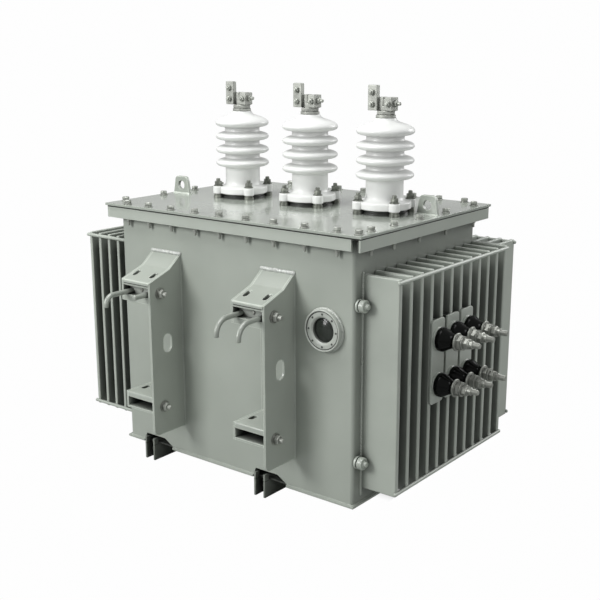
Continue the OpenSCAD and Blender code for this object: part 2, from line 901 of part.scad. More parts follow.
// Washer, nuts and stud of each low voltage bushing
module lv_terminals() {
  foot = lv_ring_l + lv_foot_l + lv_cone_l;
  color("Silver") place() lv_each() translate([0, 0, foot]) {
    cylinder(h = lv_nut_l / 4, r = lv_washer_r);
    translate([0, 0, lv_nut_l / 4]) cylinder(h = lv_nut_l * 3 / 4, r = lv_nut_r);
    translate([0, 0, lv_nut_l]) cylinder(h = lv_stud_l, r = lv_stud_r);
  }
}

front_wall();
back_wall();
left_wall();
right_wall();
base_plate();
base_rail_left();
base_rail_right();
rim_front();
rim_back();
rim_left();
rim_right();
cover_gasket();
cover_plate();
lifting_lug_left();
lifting_lug_right();
hv_ring_left();
hv_ring_middle();
hv_ring_right();
hv_porcelain_left();
hv_porcelain_middle();
hv_porcelain_right();
hv_terminal_left();
hv_terminal_middle();
hv_terminal_right();
right_fins();
right_fin_rods();
left_panels();
left_panel_rods();
left_headers();
rear_sheet();
rear_fins();
rear_fin_rods();
bracket_left_side();
bracket_left_web();
bracket_left_top();
bracket_left_shelf();
bracket_left_hooks();
bracket_right_side();
bracket_right_web();
bracket_right_top();
bracket_right_shelf();
bracket_right_hooks();
gauge_flange();
gauge_ring();
gauge_glass();
earth_bosses();
lv_ducts();
lv_plates();
lv_rings();
lv_insulators();
lv_terminals();
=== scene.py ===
"""Dresses a pole-hung distribution transformer: enamelled tank, porcelain bushings, bolts and welds."""
import logging
import math
import random
from dataclasses import dataclass, replace
from enum import Enum
from typing import Callable, Iterable, Optional, Sequence

import bmesh
import bpy
from mathutils import Matrix, Vector


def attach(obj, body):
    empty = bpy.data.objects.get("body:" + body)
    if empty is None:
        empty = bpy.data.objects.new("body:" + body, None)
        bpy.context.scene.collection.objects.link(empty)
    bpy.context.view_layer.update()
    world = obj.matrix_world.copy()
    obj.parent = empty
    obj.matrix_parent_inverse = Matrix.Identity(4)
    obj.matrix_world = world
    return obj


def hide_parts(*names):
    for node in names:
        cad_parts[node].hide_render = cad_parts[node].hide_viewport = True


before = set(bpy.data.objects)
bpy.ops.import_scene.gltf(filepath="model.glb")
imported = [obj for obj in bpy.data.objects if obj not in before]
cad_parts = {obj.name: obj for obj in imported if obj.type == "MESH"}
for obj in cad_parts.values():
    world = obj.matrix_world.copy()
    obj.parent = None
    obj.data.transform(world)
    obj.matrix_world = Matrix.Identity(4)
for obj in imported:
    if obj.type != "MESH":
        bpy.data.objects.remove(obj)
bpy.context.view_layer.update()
LOG = logging.getLogger("transformer")
Point = Sequence[float]
Profile = tuple[tuple[float, float], ...]
Lay = Callable[[float, float, float], Point]
Tree = bpy.types.NodeTree
Socket = bpy.types.NodeSocket
Shader = bpy.types.ShaderNode

# Tank centre in the row frame, millimetres
CENTRE = (-25.5, 48.75)

# Millimetres in a metre
PER_METRE = 1000

# Points closer together than this are joined, metres
SAME_PLACE = 0.00001

# Edges closer than this to a bend line are rounded with it, metres
BEND_NEAR = 0.001

# Edges of a plate with a sharper turn than this are softened, radians
SHARP_TURN = 0.6

# Edges sharper than this many degrees stay sharp on bolts, glazed pieces and welds
BOLT_ANGLE, GLAZE_ANGLE, WELD_ANGLE = 30.0, 50.0, 60.0

# Corners of a rounded oblong, each with the direction in which its quarter circle starts
CORNERS = ((1, 1, 0), (-1, 1, 90), (-1, -1, 180), (1, -1, 270))

# Angles of the rings that round off the end of a rod
END_ANGLES = (0.45, 0.9, 1.35)

# Sides of a round hole in a plate, and steps of a quarter circle
HOLE_SIDES = 48
QUARTER_STEPS = 6

# Thickness of a weld bead as shares of its radius: thinnest, ripple and unevenness
BEAD_THIN, BEAD_RIPPLE, BEAD_UNEVEN = 0.9, 0.16, 0.12


def metres(x: float, y: float, z: float) -> Vector:
    """Turns millimetres about the tank centre into metres in the row frame.

    Args:
        x: Distance to the right of the tank centre.
        y: Distance behind the tank centre.
        z: Height above the floor.

    Returns:
        The point in the row frame.
    """
    return Vector(((x + CENTRE[0]) / PER_METRE, (y + CENTRE[1]) / PER_METRE, z / PER_METRE))


def quarter(x: float, y: float, radius: float, first: float) -> list[tuple[float, float]]:
    """Draws a quarter circle.

    Args:
        x: First coordinate of its middle.
        y: Second coordinate of its middle.
        radius: Its radius.
        first: Direction of its first point in degrees.

    Returns:
        The points of the quarter circle.
    """
    angles = [math.radians(first + 90 / QUARTER_STEPS * k) for k in range(QUARTER_STEPS + 1)]
    return [(x + radius * math.cos(a), y + radius * math.sin(a)) for a in angles]


def hoop(centre: Vector, first: Vector, second: Vector, radius: float, sides: int,
         turn: float = 0.0) -> list[Vector]:
    """Draws a circle in space.

    Args:
        centre: Its middle.
        first: Direction of its first point.
        second: Direction square to the first.
        radius: Its radius.
        sides: Number of points.
        turn: Turn of the first point in degrees.

    Returns:
        The points of the circle.
    """
    angles = [math.radians(turn) + 2 * math.pi * k / sides for k in range(sides)]
    return [centre + (first * math.cos(a) + second * math.sin(a)) * radius for a in angles]


def bevel(bm: bmesh.types.BMesh, edges: Sequence[bmesh.types.BMEdge], width: float, steps: int) -> None:
    """Softens edges of a mesh.

    Args:
        bm: Mesh to change.
        edges: Edges to soften.
        width: Width of the softened edges in millimetres.
        steps: Number of steps round an edge.
    """
    bmesh.ops.bevel(bm, geom=edges, offset=width / PER_METRE, segments=steps, profile=0.5, affect="EDGES")


class Way(Enum):
    """Direction a turned piece points in."""

    UP = (0, 0, 1)
    DOWN = (0, 0, -1)
    RIGHT = (1, 0, 0)
    LEFT = (-1, 0, 0)
    FRONT = (0, -1, 0)


class Shape:
    """Collects solids in one mesh, drawn in millimetres about the tank centre."""

    def __init__(self) -> None:
        """Starts an empty mesh."""
        self.bm = bmesh.new()

    def take(self, other: bmesh.types.BMesh) -> None:
        """Joins another mesh to this one and frees it.

        Args:
            other: The mesh to take in.
        """
        mesh = bpy.data.meshes.new("joined")
        other.to_mesh(mesh)
        other.free()
        self.bm.from_mesh(mesh)
        bpy.data.meshes.remove(mesh)

    def loops(self, rings: Sequence[Sequence[Vector]], hollow: bool = False) -> None:
        """Skins a row of point rings.

        Args:
            rings: Rings of points, each as long as the first or a single point.
            hollow: Whether the last ring joins the first, as in a tube, or both ends are capped.
        """
        made = [[self.bm.verts.new(metres(*p)) for p in ring] for ring in rings]
        for low, high in zip(made, made[1:] + (made[:1] if hollow else [])):
            count = max(len(low), len(high))
            for i in range(count):
                j = (i + 1) % count
                corners = [low[i % len(low)], low[j % len(low)], high[j % len(high)], high[i % len(high)]]
                unique = list(dict.fromkeys(corners))
                if len(unique) > 2:
                    self.bm.faces.new(unique)
        for ring, flip in ((made[0], True), (made[-1], False)):
            if len(ring) > 2 and not hollow:
                self.bm.faces.new(ring[::-1] if flip else ring)

    def block(self, low: Point, high: Point, soft: float = 1.0, steps: int = 2) -> None:
        """Adds a box with softened edges.

        Args:
            low: Lowest corner.
            high: Highest corner.
            soft: Width of the softened edges.
            steps: Number of steps round an edge.
        """
        tmp = bmesh.new()
        a, b = metres(*low), metres(*high)
        place = Matrix.Translation((a + b) / 2) @ Matrix.Diagonal((*(b - a), 1))
        bmesh.ops.create_cube(tmp, size=1.0, matrix=place)
        if soft > 0:
            bevel(tmp, list(tmp.edges), soft, steps)
        self.take(tmp)

    def prism(self, outline: Sequence[Point], lay: Lay, start: float, end: float, soft: float = 1.0,
              steps: int = 2) -> None:
        """Adds a plate with a given outline and softened edges.

        Args:
            outline: Points of the outline.
            lay: Puts outline point and depth into space.
            start: Depth of the first face.
            end: Depth of the second face.
            soft: Width of the softened edges.
            steps: Number of steps round an edge.
        """
        tmp = bmesh.new()
        low = [tmp.verts.new(metres(*lay(u, v, start))) for u, v in outline]
        high = [tmp.verts.new(metres(*lay(u, v, end))) for u, v in outline]
        tmp.faces.new(low[::-1])
        tmp.faces.new(high)
        for i in range(len(low)):
            j = (i + 1) % len(low)
            tmp.faces.new((low[i], low[j], high[j], high[i]))
        bmesh.ops.recalc_face_normals(tmp, faces=tmp.faces)
        if soft > 0:
            sharp = [e for e in tmp.edges if e.calc_face_angle(0.0) > SHARP_TURN]
            bevel(tmp, sharp, soft, steps)
        self.take(tmp)

    def turned(self, foot: Point, way: Way, profile: Sequence[Point], sides: int = 40, turn: float = 0.0,
               hollow: bool = False) -> None:
        """Adds a solid turned about an axis.

        Args:
            foot: Point of the axis at height nought.
            way: Direction of the axis.
            profile: Radius and height of each ring, from foot to end.
            sides: Number of sides.
            turn: Turn about the axis in degrees.
            hollow: Whether the profile closes on itself and leaves the middle open.
        """
        axis = Vector(way.value)
        side = Vector((0, 0, 1)) if abs(axis.z) < 0.5 else Vector((1, 0, 0))
        other = axis.cross(side)
        rings = []
        for radius, height in profile:
            centre = Vector(foot) + axis * height
            if radius < 1e-6:
                rings.append([centre])
                continue
            rings.append(hoop(centre, side, other, radius, sides, turn))
        self.loops(rings, hollow)

    def hexagon(self, foot: Point, way: Way, radius: float, height: float, turn: float = 0.0) -> None:
        """Adds a hexagon nut or head with chamfered ends.

        Args:
            foot: Middle of its lower face.
            way: Direction it stands in.
            radius: Corner radius.
            height: Its height.
            turn: Turn about its axis in degrees.
        """
        self.turned(foot, way, [(0, 0), (radius * 0.9, 0), (radius, height * 0.12), (radius, height * 0.86),
                                (radius * 0.87, height), (0, height)], 6, turn)

    def rod(self, path: Sequence[Point], radius: float | Callable[[float], float], sides: int = 16,
            dome: float = 0.6) -> None:
        """Adds a round rod along a path, with rounded ends.

        Args:
            path: Points along the middle of the rod.
            radius: Radius, or a function from distance along the rod to radius.
            sides: Number of sides.
            dome: Depth of the rounded ends as a share of the radius.
        """
        points = [Vector(p) for p in path]
        size = radius if callable(radius) else (lambda _: radius)
        normal: Optional[Vector] = None
        rings: list[list[Vector]] = []
        along = 0.0
        for i, p in enumerate(points):
            tangent = (points[min(i + 1, len(points) - 1)] - points[max(i - 1, 0)]).normalized()
            if normal is None:
                normal = tangent.orthogonal().normalized()
            normal = (normal - tangent * normal.dot(tangent)).normalized()
            cross = tangent.cross(normal)
            along += (p - points[i - 1]).length if i else 0.0
            r = size(along)
            ends = [(tangent * r * dome * math.sin(t), r * math.cos(t)) for t in END_ANGLES]
            if i == 0:
                rings += [hoop(p - out, normal, cross, small, sides) for out, small in reversed(ends)]
            rings.append(hoop(p, normal, cross, r, sides))
            if i == len(points) - 1:
                rings += [hoop(p + out, normal, cross, small, sides) for out, small in ends]
        self.loops(rings)

    def bead(self, start: Point, end: Point, radius: float, pitch: float = 5.0, seed: int = 1) -> None:
        """Adds a weld bead with ripples between two points.

        Args:
            start: First point.
            end: Last point.
            radius: Mean radius of the bead.
            pitch: Distance between ripples.
            seed: Seed of its unevenness.
        """
        rng = random.Random(seed)
        a, b = Vector(start), Vector(end)
        step = pitch / 4
        count = max(int((b - a).length / step), 2)
        wobble = [rng.uniform(-BEAD_UNEVEN, BEAD_UNEVEN) for _ in range(count + 1)]
        path = [a.lerp(b, i / count) for i in range(count + 1)]

        def size(along: float) -> float:
            """Finds the radius of the bead at a distance along it."""
            ripple = BEAD_RIPPLE * abs(math.sin(math.pi * along / pitch))
            return radius * (BEAD_THIN + ripple + wobble[min(int(along / step), count)])

        self.rod(path, size, sides=8)

    def holed(self, outline: Sequence[Point], hole: Point, radius: float, lay: Lay, start: float, end: float,
              soft: float = 1.0) -> None:
        """Adds a plate with one round hole and softened outer edges.

        Args:
            outline: Outline in order, seen whole from the hole.
            hole: Middle of the hole.
            radius: Radius of the hole.
            lay: Puts outline point and depth into space.
            start: Depth of the first face.
            end: Depth of the second face.
            soft: Width of the softened edges.
        """
        centre = Vector(hole)
        full = 2 * math.pi
        angles = sorted({round(full * k / HOLE_SIDES, 5) for k in range(HOLE_SIDES)} |
                        {round(math.atan2(v - centre.y, u - centre.x) % full, 5) for u, v in outline})

        def edge(angle: float) -> Vector:
            """Finds the outline point in one direction from the hole.

            Args:
                angle: The direction.

            Returns:
                The point on the outline.
            """
            ray = Vector((math.cos(angle), math.sin(angle)))
            best = 1e9
            for (u0, v0), (u1, v1) in zip(outline, list(outline[1:]) + [outline[0]]):
                p, d = Vector((u0, v0)) - centre, Vector((u1 - u0, v1 - v0))
                det = ray.x * -d.y + ray.y * d.x
                if abs(det) < 1e-12:
                    continue
                t = (p.x * -d.y + p.y * d.x) / det
                s = (ray.x * p.y - ray.y * p.x) / det
                if t > 0 and -1e-4 <= s <= 1 + 1e-4:
                    best = min(best, t)
            return centre + ray * best

        rims = [edge(a) for a in angles]
        inner = [centre + Vector((math.cos(a), math.sin(a))) * radius for a in angles]
        drawn_in = [p + (centre - p).normalized() * soft for p in rims]
        step = soft if end > start else -soft
        rows = [(inner, start), (drawn_in, start), (rims, start + step), (rims, end - step), (drawn_in, end),
                (inner, end)]
        made = [[self.bm.verts.new(metres(*lay(p.x, p.y, d))) for p in row] for row, d in rows]
        for low, high in zip(made, made[1:] + made[:1]):
            for i in range(len(low)):
                j = (i + 1) % len(low)
                self.bm.faces.new((low[i], low[j], high[j], high[i]))

    def bent(self, node: str, bends: Sequence[Point], bend: float = 3.0) -> None:
        """Adds a copy of a model node with its bends rounded.

        Args:
            node: Node to copy.
            bends: Bent edges along X, each as distance behind the tank centre and height.
            bend: Width of the rounding.
        """
        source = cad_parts[node]
        tmp = bmesh.new()
        tmp.from_mesh(source.data)
        tmp.transform(source.matrix_world)
        bmesh.ops.remove_doubles(tmp, verts=tmp.verts, dist=SAME_PLACE)
        bmesh.ops.dissolve_limit(tmp, angle_limit=math.radians(1), verts=tmp.verts, edges=tmp.edges)
        for y, z in bends:
            spot = metres(0, y, z)
            chosen = [e for e in tmp.edges
                      if all(abs(v.co.y - spot.y) + abs(v.co.z - spot.z) < BEND_NEAR for v in e.verts)]
            bevel(tmp, chosen, bend, 3)
        self.take(tmp)

    def piece(self, name: str, finish: "Finish", slot: str, nodes: Iterable[str] = (),
              angle: float = 38.0) -> bpy.types.Object:
        """Makes the object, gives it its finish and ties it to the model.

        Args:
            name: Name of the piece.
            finish: Its finish.
            slot: Material slot of the record; not used.
            nodes: Model nodes that it stands for.
            angle: Edges sharper than this many degrees stay sharp.

        Returns:
            The new object.
        """
        bmesh.ops.recalc_face_normals(self.bm, faces=self.bm.faces)
        mesh = bpy.data.meshes.new(name)
        self.bm.to_mesh(mesh)
        self.bm.free()
        mesh.shade_smooth()
        mesh.set_sharp_from_angle(angle=math.radians(angle))
        obj = bpy.data.objects.new(name, mesh)
        bpy.context.scene.collection.objects.link(obj)
        mesh.materials.append(finish.material())
        even = obj.modifiers.new("even_faces", "WEIGHTED_NORMAL")
        even.keep_sharp = True
        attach(obj, "root")
        for node in nodes:
            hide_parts(node)
        LOG.info("piece %s: %d faces", name, len(mesh.polygons))
        return obj


# Details that all finishes share: lengths in metres, the rest shares, spans and noise scales
COAT_ROUGH = 0.06
RELIEF_DEPTH = 0.0006
NOISE_SPAN = (0.3, 0.7)
SPECK_SCALE = 140.0
SPECK_SPAN = (0.74, 0.86)
SPECK_SHADE = 0.72
# Facing values where the pale edges of wear and painted highlight start and become full
EDGE_SPAN = (0.985, 0.9)
EDGE_SAMPLES = 4
# Samples and lowest occlusion of the painted shade in corners and gaps
GAP_SAMPLES = 16
GAP_FROM = 0.1
# Height over which the painted shade is lifted near the top, and how much, as painted light from above
SHADE_LIFT_FADE = 0.05
SHADE_LIFT_SHARE = 0.85
GLASS_ALPHA = 0.5

# Colour sockets of a mix node
MIX_FIRST, MIX_SECOND, MIX_COLOUR = 6, 7, 2


@dataclass(frozen=True)
class Finish:
    """A surface finish with a procedural material."""

    name: str
    colour: tuple[float, float, float]
    rough: float
    metal: float = 0.0
    gleam: float = 0.5
    coat: float = 0.0
    grain: float = 900.0
    bump: float = 0.05
    tone: float = 0.06
    tone_scale: float = 6.0
    edge: float = 0.0
    # Pale edges, partly wear and partly painted highlight, and the width of the edge band
    wear_and_highlight: float = 0.0
    wear_and_highlight_reach: float = 0.0025
    dust: float = 0.0
    # Painted shade: how dark corners and gaps are painted, how far the occlusion looks, and where it starts
    painted_shade: float = 0.0
    painted_shade_reach: float = 0.06
    painted_shade_from: float = 0.8
    # Height at which the painted shade in gaps is lifted, as painted light from above; nought for none
    painted_shade_top: float = 0.0
    # Painted glow: emission in the finish's own colour, though the surface is no lamp
    painted_glow: float = 0.0
    mottle: float = 0.18

    def material(self) -> bpy.types.Material:
        """Makes the material once and hands it out again after that.

        Returns:
            The material of this finish.
        """
        ready = bpy.data.materials.get(self.name)
        if ready:
            return ready
        mat = bpy.data.materials.new(self.name)
        mat.use_nodes = True
        tree = mat.node_tree
        shader = tree.nodes["Principled BSDF"]
        shader.inputs["Metallic"].default_value = self.metal
        shader.inputs["Specular IOR Level"].default_value = self.gleam
        shader.inputs["Coat Weight"].default_value = self.coat
        shader.inputs["Coat Roughness"].default_value = COAT_ROUGH
        # Painted glow in the finish's own colour
        shader.inputs["Emission Color"].default_value = (*self.colour, 1)
        shader.inputs["Emission Strength"].default_value = self.painted_glow
        place = tree.nodes.new("ShaderNodeTexCoord").outputs["Object"]
        self.paint_colour(tree, shader, place)
        self.paint_surface(tree, shader, place)
        return mat

    def noise(self, tree: Tree, place: Socket, scale: float, detail: float) -> Socket:
        """Adds a noise texture.

        Args:
            tree: Node tree of the material.
            place: Coordinates to use.
            scale: Scale of the noise.
            detail: Number of finer layers.

        Returns:
            The noise value.
        """
        node = tree.nodes.new("ShaderNodeTexNoise")
        node.inputs["Scale"].default_value = scale
        node.inputs["Detail"].default_value = detail
        tree.links.new(place, node.inputs["Vector"])
        return node.outputs["Fac"]

    def ramp(self, tree: Tree, value: Socket, given: Point, made: Point = (0.0, 1.0)) -> Socket:
        """Maps a value from one span to another.

        Args:
            tree: Node tree of the material.
            value: Value to map.
            given: First and last value that come in.
            made: First and last value that go out.

        Returns:
            The mapped value.
        """
        node = tree.nodes.new("ShaderNodeMapRange")
        for socket, number in zip(("From Min", "From Max", "To Min", "To Max"), (*given, *made)):
            node.inputs[socket].default_value = number
        tree.links.new(value, node.inputs["Value"])
        return node.outputs["Result"]

    def rounded(self, tree: Tree, reach: float) -> Socket:
        """Adds a surface direction that is rounded off along edges.

        Args:
            tree: Node tree of the material.
            reach: Width of the rounding.

        Returns:
            The rounded direction.
        """
        node = tree.nodes.new("ShaderNodeBevel")
        node.samples = EDGE_SAMPLES
        node.inputs["Radius"].default_value = reach
        return node.outputs["Normal"]

    def blend(self, tree: Tree, share: Socket, span: Point, first: Socket | Sequence[float],
              second: Sequence[float]) -> Socket:
        """Mixes a second colour in where a value is high.

        Args:
            tree: Node tree of the material.
            share: Value that steers the mix.
            span: Value with none of the second colour and value with all of it.
            first: First colour, as numbers or a socket.
            second: Second colour.

        Returns:
            The mixed colour.
        """
        mix = tree.nodes.new("ShaderNodeMix")
        mix.data_type = "RGBA"
        tree.links.new(self.ramp(tree, share, span), mix.inputs["Factor"])
        if isinstance(first, bpy.types.NodeSocket):
            tree.links.new(first, mix.inputs[MIX_FIRST])
        else:
            mix.inputs[MIX_FIRST].default_value = (*first, 1)
        mix.inputs[MIX_SECOND].default_value = (*second, 1)
        return mix.outputs[MIX_COLOUR]

    def paint_colour(self, tree: Tree, shader: Shader, place: Socket) -> None:
        """Gives the shader its uneven colour, pale edges of wear and painted highlight, dust, and painted
        shade.

        Args:
            tree: Node tree of the material.
            shader: Shader to feed.
            place: Coordinates to use.
        """
        dark = [c * (1 - 2 * self.tone) for c in self.colour]
        light = [min(1.0, c * (1 + 2 * self.tone)) for c in self.colour]
        colour = self.blend(tree, self.noise(tree, place, self.tone_scale, 6), NOISE_SPAN, dark, light)
        # Edges are paled, partly as wear and partly as a painted highlight
        if self.wear_and_highlight > 0:
            colour = self.pale_worn_and_lit_edges(tree, colour)
        if self.dust > 0:
            specks = self.noise(tree, place, SPECK_SCALE, 8)
            span = (SPECK_SPAN[0] - self.dust, SPECK_SPAN[1])
            colour = self.blend(tree, specks, span, colour, [c * SPECK_SHADE for c in self.colour])
        # Corners and narrow gaps are darkened as painted shade
        if self.painted_shade > 0:
            colour = self.paint_shade(tree, colour)
        tree.links.new(colour, shader.inputs["Base Color"])

    def pale_worn_and_lit_edges(self, tree: Tree, colour: Socket) -> Socket:
        """Pales the paint along edges, partly as wear where it is thin and rubbed and partly as a painted
        highlight.

        Args:
            tree: Node tree of the material.
            colour: Even colour.

        Returns:
            The colour with pale edges of wear and painted highlight.
        """
        facing = tree.nodes.new("ShaderNodeVectorMath")
        facing.operation = "DOT_PRODUCT"
        tree.links.new(self.rounded(tree, self.wear_and_highlight_reach), facing.inputs[0])
        tree.links.new(tree.nodes.new("ShaderNodeNewGeometry").outputs["Normal"], facing.inputs[1])
        pale = [min(1.0, c * (1 + self.wear_and_highlight)) for c in self.colour]
        return self.blend(tree, facing.outputs["Value"], EDGE_SPAN, colour, pale)

    def paint_shade(self, tree: Tree, colour: Socket) -> Socket:
        """Darkens the paint in corners and narrow gaps as painted shade.

        Args:
            tree: Node tree of the material.
            colour: Colour without the painted shade.

        Returns:
            The colour with painted shade.
        """
        # Occlusion decides where the shade is painted
        hollow = tree.nodes.new("ShaderNodeAmbientOcclusion")
        hollow.samples = GAP_SAMPLES
        hollow.inputs["Distance"].default_value = self.painted_shade_reach
        unshaded = self.ramp(tree, hollow.outputs["AO"], (GAP_FROM, self.painted_shade_from), (1 - self.painted_shade, 1.0))
        # Near the top the painted shade is lifted as painted light from above
        if self.painted_shade_top > 0:
            unshaded = self.lift_shade_near_top(tree, unshaded)
        mix = tree.nodes.new("ShaderNodeMix")
        mix.data_type = "RGBA"
        mix.blend_type = "MULTIPLY"
        mix.inputs["Factor"].default_value = 1.0
        tree.links.new(colour, mix.inputs[MIX_FIRST])
        tree.links.new(unshaded, mix.inputs[MIX_SECOND])
        return mix.outputs[MIX_COLOUR]

    def lift_shade_near_top(self, tree: Tree, unshaded: Socket) -> Socket:
        """Lifts the painted shade towards the upper ends of the gaps, as painted light falling in from above.

        Args:
            tree: Node tree of the material.
            unshaded: Share of the colour that the painted shade leaves.

        Returns:
            The share with less painted shade at the upper end.
        """
        split = tree.nodes.new("ShaderNodeSeparateXYZ")
        tree.links.new(tree.nodes.new("ShaderNodeNewGeometry").outputs["Position"], split.inputs["Vector"])
        span = (self.painted_shade_top - SHADE_LIFT_FADE, self.painted_shade_top)
        lift = tree.nodes.new("ShaderNodeMix")
        tree.links.new(self.ramp(tree, split.outputs["Z"], span, (0.0, SHADE_LIFT_SHARE)), lift.inputs[0])
        tree.links.new(unshaded, lift.inputs[2])
        lift.inputs[3].default_value = 1.0
        return lift.outputs[0]

    def paint_surface(self, tree: Tree, shader: Shader, place: Socket) -> None:
        """Gives the shader its uneven gloss, fine relief and rounded edges.

        Args:
            tree: Node tree of the material.
            shader: Shader to feed.
            place: Coordinates to use.
        """
        clouds = self.noise(tree, place, self.tone_scale * 4, 4)
        gloss = (self.rough * (1 - self.mottle), min(1.0, self.rough * (1 + self.mottle)))
        tree.links.new(self.ramp(tree, clouds, NOISE_SPAN, gloss), shader.inputs["Roughness"])
        relief = tree.nodes.new("ShaderNodeBump")
        relief.inputs["Strength"].default_value = self.bump
        relief.inputs["Distance"].default_value = RELIEF_DEPTH
        tree.links.new(self.noise(tree, place, self.grain, 3), relief.inputs["Height"])
        if self.edge > 0:
            tree.links.new(self.rounded(tree, self.edge), relief.inputs["Normal"])
        tree.links.new(relief.outputs["Normal"], shader.inputs["Normal"])


@dataclass(frozen=True)
class GlassFinish(Finish):
    """Clear glass that shows what lies behind it."""

    def paint_colour(self, tree: Tree, shader: Shader, place: Socket) -> None:
        """Lets half the light through before the colour is laid on.

        Args:
            tree: Node tree of the material.
            shader: Shader to feed.
            place: Coordinates to use.
        """
        shader.inputs["Alpha"].default_value = GLASS_ALPHA
        super().paint_colour(tree, shader, place)


# In the finishes below, the darkening in corners and gaps is painted shade, pale edges are partly wear and
# partly painted highlight, and the porcelain glow is painted light
PAINT = (0.34, 0.368, 0.327)
ENAMEL = Finish("tank_enamel", PAINT, 0.36, coat=0.25, grain=700, bump=0.10, tone=0.025, edge=0.0018,
                wear_and_highlight=0.3, dust=0.02, painted_shade=0.45)
SHADED_ENAMEL = replace(ENAMEL, name="shaded_enamel", painted_shade=0.8, painted_shade_reach=0.14, painted_shade_from=0.95)
# Tank paint painted lighter on the rims as painted light, with painted shade in their corners
LIT_RIM_ENAMEL = replace(ENAMEL, name="lit_rim_enamel", colour=(0.39, 0.421, 0.376), wear_and_highlight=0.4, painted_shade=0.75,
                     painted_shade_reach=0.03, painted_shade_from=0.5)
COVER_ENAMEL = Finish("cover_enamel", PAINT, 0.2, coat=0.5, grain=120, bump=0.02, tone=0.03, edge=0.002,
                      wear_and_highlight=0.4, painted_shade=0.4, mottle=0.04)
# Tank paint painted lighter on the coolers as painted light, with deep painted shade in the gaps, lifted near
# the tops
LIT_FIN_ENAMEL = Finish("lit_fin_enamel", (0.38, 0.411, 0.366), 0.42, coat=0.15, grain=700, bump=0.1, tone=0.04,
                    edge=0.0015, wear_and_highlight=0.6, dust=0.03, painted_shade=0.86, painted_shade_reach=0.12, painted_shade_from=0.88,
                    painted_shade_top=0.6)
# Bracket paint: wide pale edges, partly wear and partly painted highlight, and deep painted shade inside the
# boxes
BRACKET_ENAMEL = Finish("bracket_enamel", PAINT, 0.36, coat=0.35, grain=600, bump=0.12, tone=0.03,
                        edge=0.002, wear_and_highlight=0.9, wear_and_highlight_reach=0.003, painted_shade=0.94, painted_shade_reach=0.12,
                        painted_shade_from=0.46)
GAUGE_ENAMEL = replace(BRACKET_ENAMEL, name="gauge_enamel", colour=(0.4, 0.424, 0.386), edge=0.0012,
                       wear_and_highlight=0.5, wear_and_highlight_reach=0.002, painted_shade=0.85, painted_shade_reach=0.02, painted_shade_from=0.75)
# Tank paint painted darker on the bent rods as painted shade, with painted shade in their corners
SHADED_ROD_ENAMEL = Finish("shaded_rod_enamel", (0.29, 0.314, 0.278), 0.34, coat=0.6, grain=600, bump=0.1, tone=0.05,
                    painted_shade=0.8, painted_shade_reach=0.03, painted_shade_from=0.7)
WELD_ENAMEL = Finish("weld_enamel", PAINT, 0.4, coat=0.2, grain=420, bump=0.3, tone=0.06, painted_shade=0.3,
                     painted_shade_reach=0.02)
# Tank paint painted much lighter on the top bead as a painted highlight
LIT_BEAD_ENAMEL = Finish("lit_bead_enamel", (0.5, 0.52, 0.49), 0.36, coat=0.5, grain=260, bump=0.7, tone=0.14,
                     tone_scale=120)
# Tank paint painted lighter on the terminal plates and rings as painted light
LIT_PLATE_ENAMEL = replace(ENAMEL, name="lit_plate_enamel", colour=(0.4, 0.43, 0.386), tone=0.03, edge=0.0015,
                       dust=0.0, painted_shade=0.7, painted_shade_reach=0.02, painted_shade_from=0.5)
# Tank paint painted darker on the rails as painted shade under the tank, with deep painted shade between
# their cheeks
SHADED_RAIL_ENAMEL = Finish("shaded_rail_enamel", (0.2, 0.218, 0.19), 0.45, coat=0.1, grain=600, bump=0.15, tone=0.05,
                     edge=0.001, wear_and_highlight=0.3, dust=0.03, painted_shade=0.9, painted_shade_reach=0.08, painted_shade_from=0.85)
STUD_METAL = Finish("stud_metal", (0.32, 0.33, 0.3), 0.35, metal=0.6, grain=1500, bump=0.06, tone=0.1,
                    tone_scale=80, edge=0.0008, painted_shade=0.95, painted_shade_reach=0.009, painted_shade_from=0.85)
CAST_METAL = Finish("cast_terminal", (0.36, 0.37, 0.34), 0.5, metal=0.4, grain=500, bump=0.25, tone=0.1,
                    tone_scale=40, edge=0.001, painted_shade=0.6, painted_shade_reach=0.015)
BOLT_METAL = Finish("bolt_metal", (0.38, 0.395, 0.36), 0.36, metal=0.45, grain=1200, bump=0.06, tone=0.12,
                    tone_scale=60, edge=0.0008, painted_shade=0.92, painted_shade_reach=0.009, painted_shade_from=0.85)
RING_STEEL = Finish("ring_steel", (0.05, 0.054, 0.048), 0.45, metal=0.2, grain=900, bump=0.1, tone=0.2,
                    tone_scale=80, painted_shade=0.7, painted_shade_reach=0.02)
DARK_STEEL = Finish("dark_steel", (0.20, 0.21, 0.185), 0.42, metal=0.7, grain=900, bump=0.1, tone=0.2,
                    tone_scale=80, painted_shade=0.6, painted_shade_reach=0.012)
# Porcelain with painted glow lifting its shaded sides, and painted shade between the sheds
PORCELAIN = Finish("glazed_porcelain", (0.66, 0.668, 0.652), 0.36, gleam=0.4, coat=0.15, grain=45, bump=0.02,
                   tone=0.012, tone_scale=12, painted_shade=0.5, painted_shade_reach=0.035, painted_shade_from=0.75, painted_glow=0.14)
BLACK_RESIN = Finish("black_resin", (0.004, 0.0045, 0.004), 0.1, gleam=0.12, grain=60, bump=0.03, tone=0.2)
RUBBER = Finish("gasket_rubber", (0.022, 0.024, 0.021), 0.7, grain=500, bump=0.4, tone=0.2)
GLASS = GlassFinish("sight_glass", (0.03, 0.036, 0.03), 0.13, grain=20, bump=0.0002, tone=0.1)
OIL = Finish("dark_oil", (0.25, 0.272, 0.235), 0.22, coat=0.3, grain=10, bump=0.02, tone=0.3, tone_scale=30,
             painted_shade=0.6, painted_shade_reach=0.02)


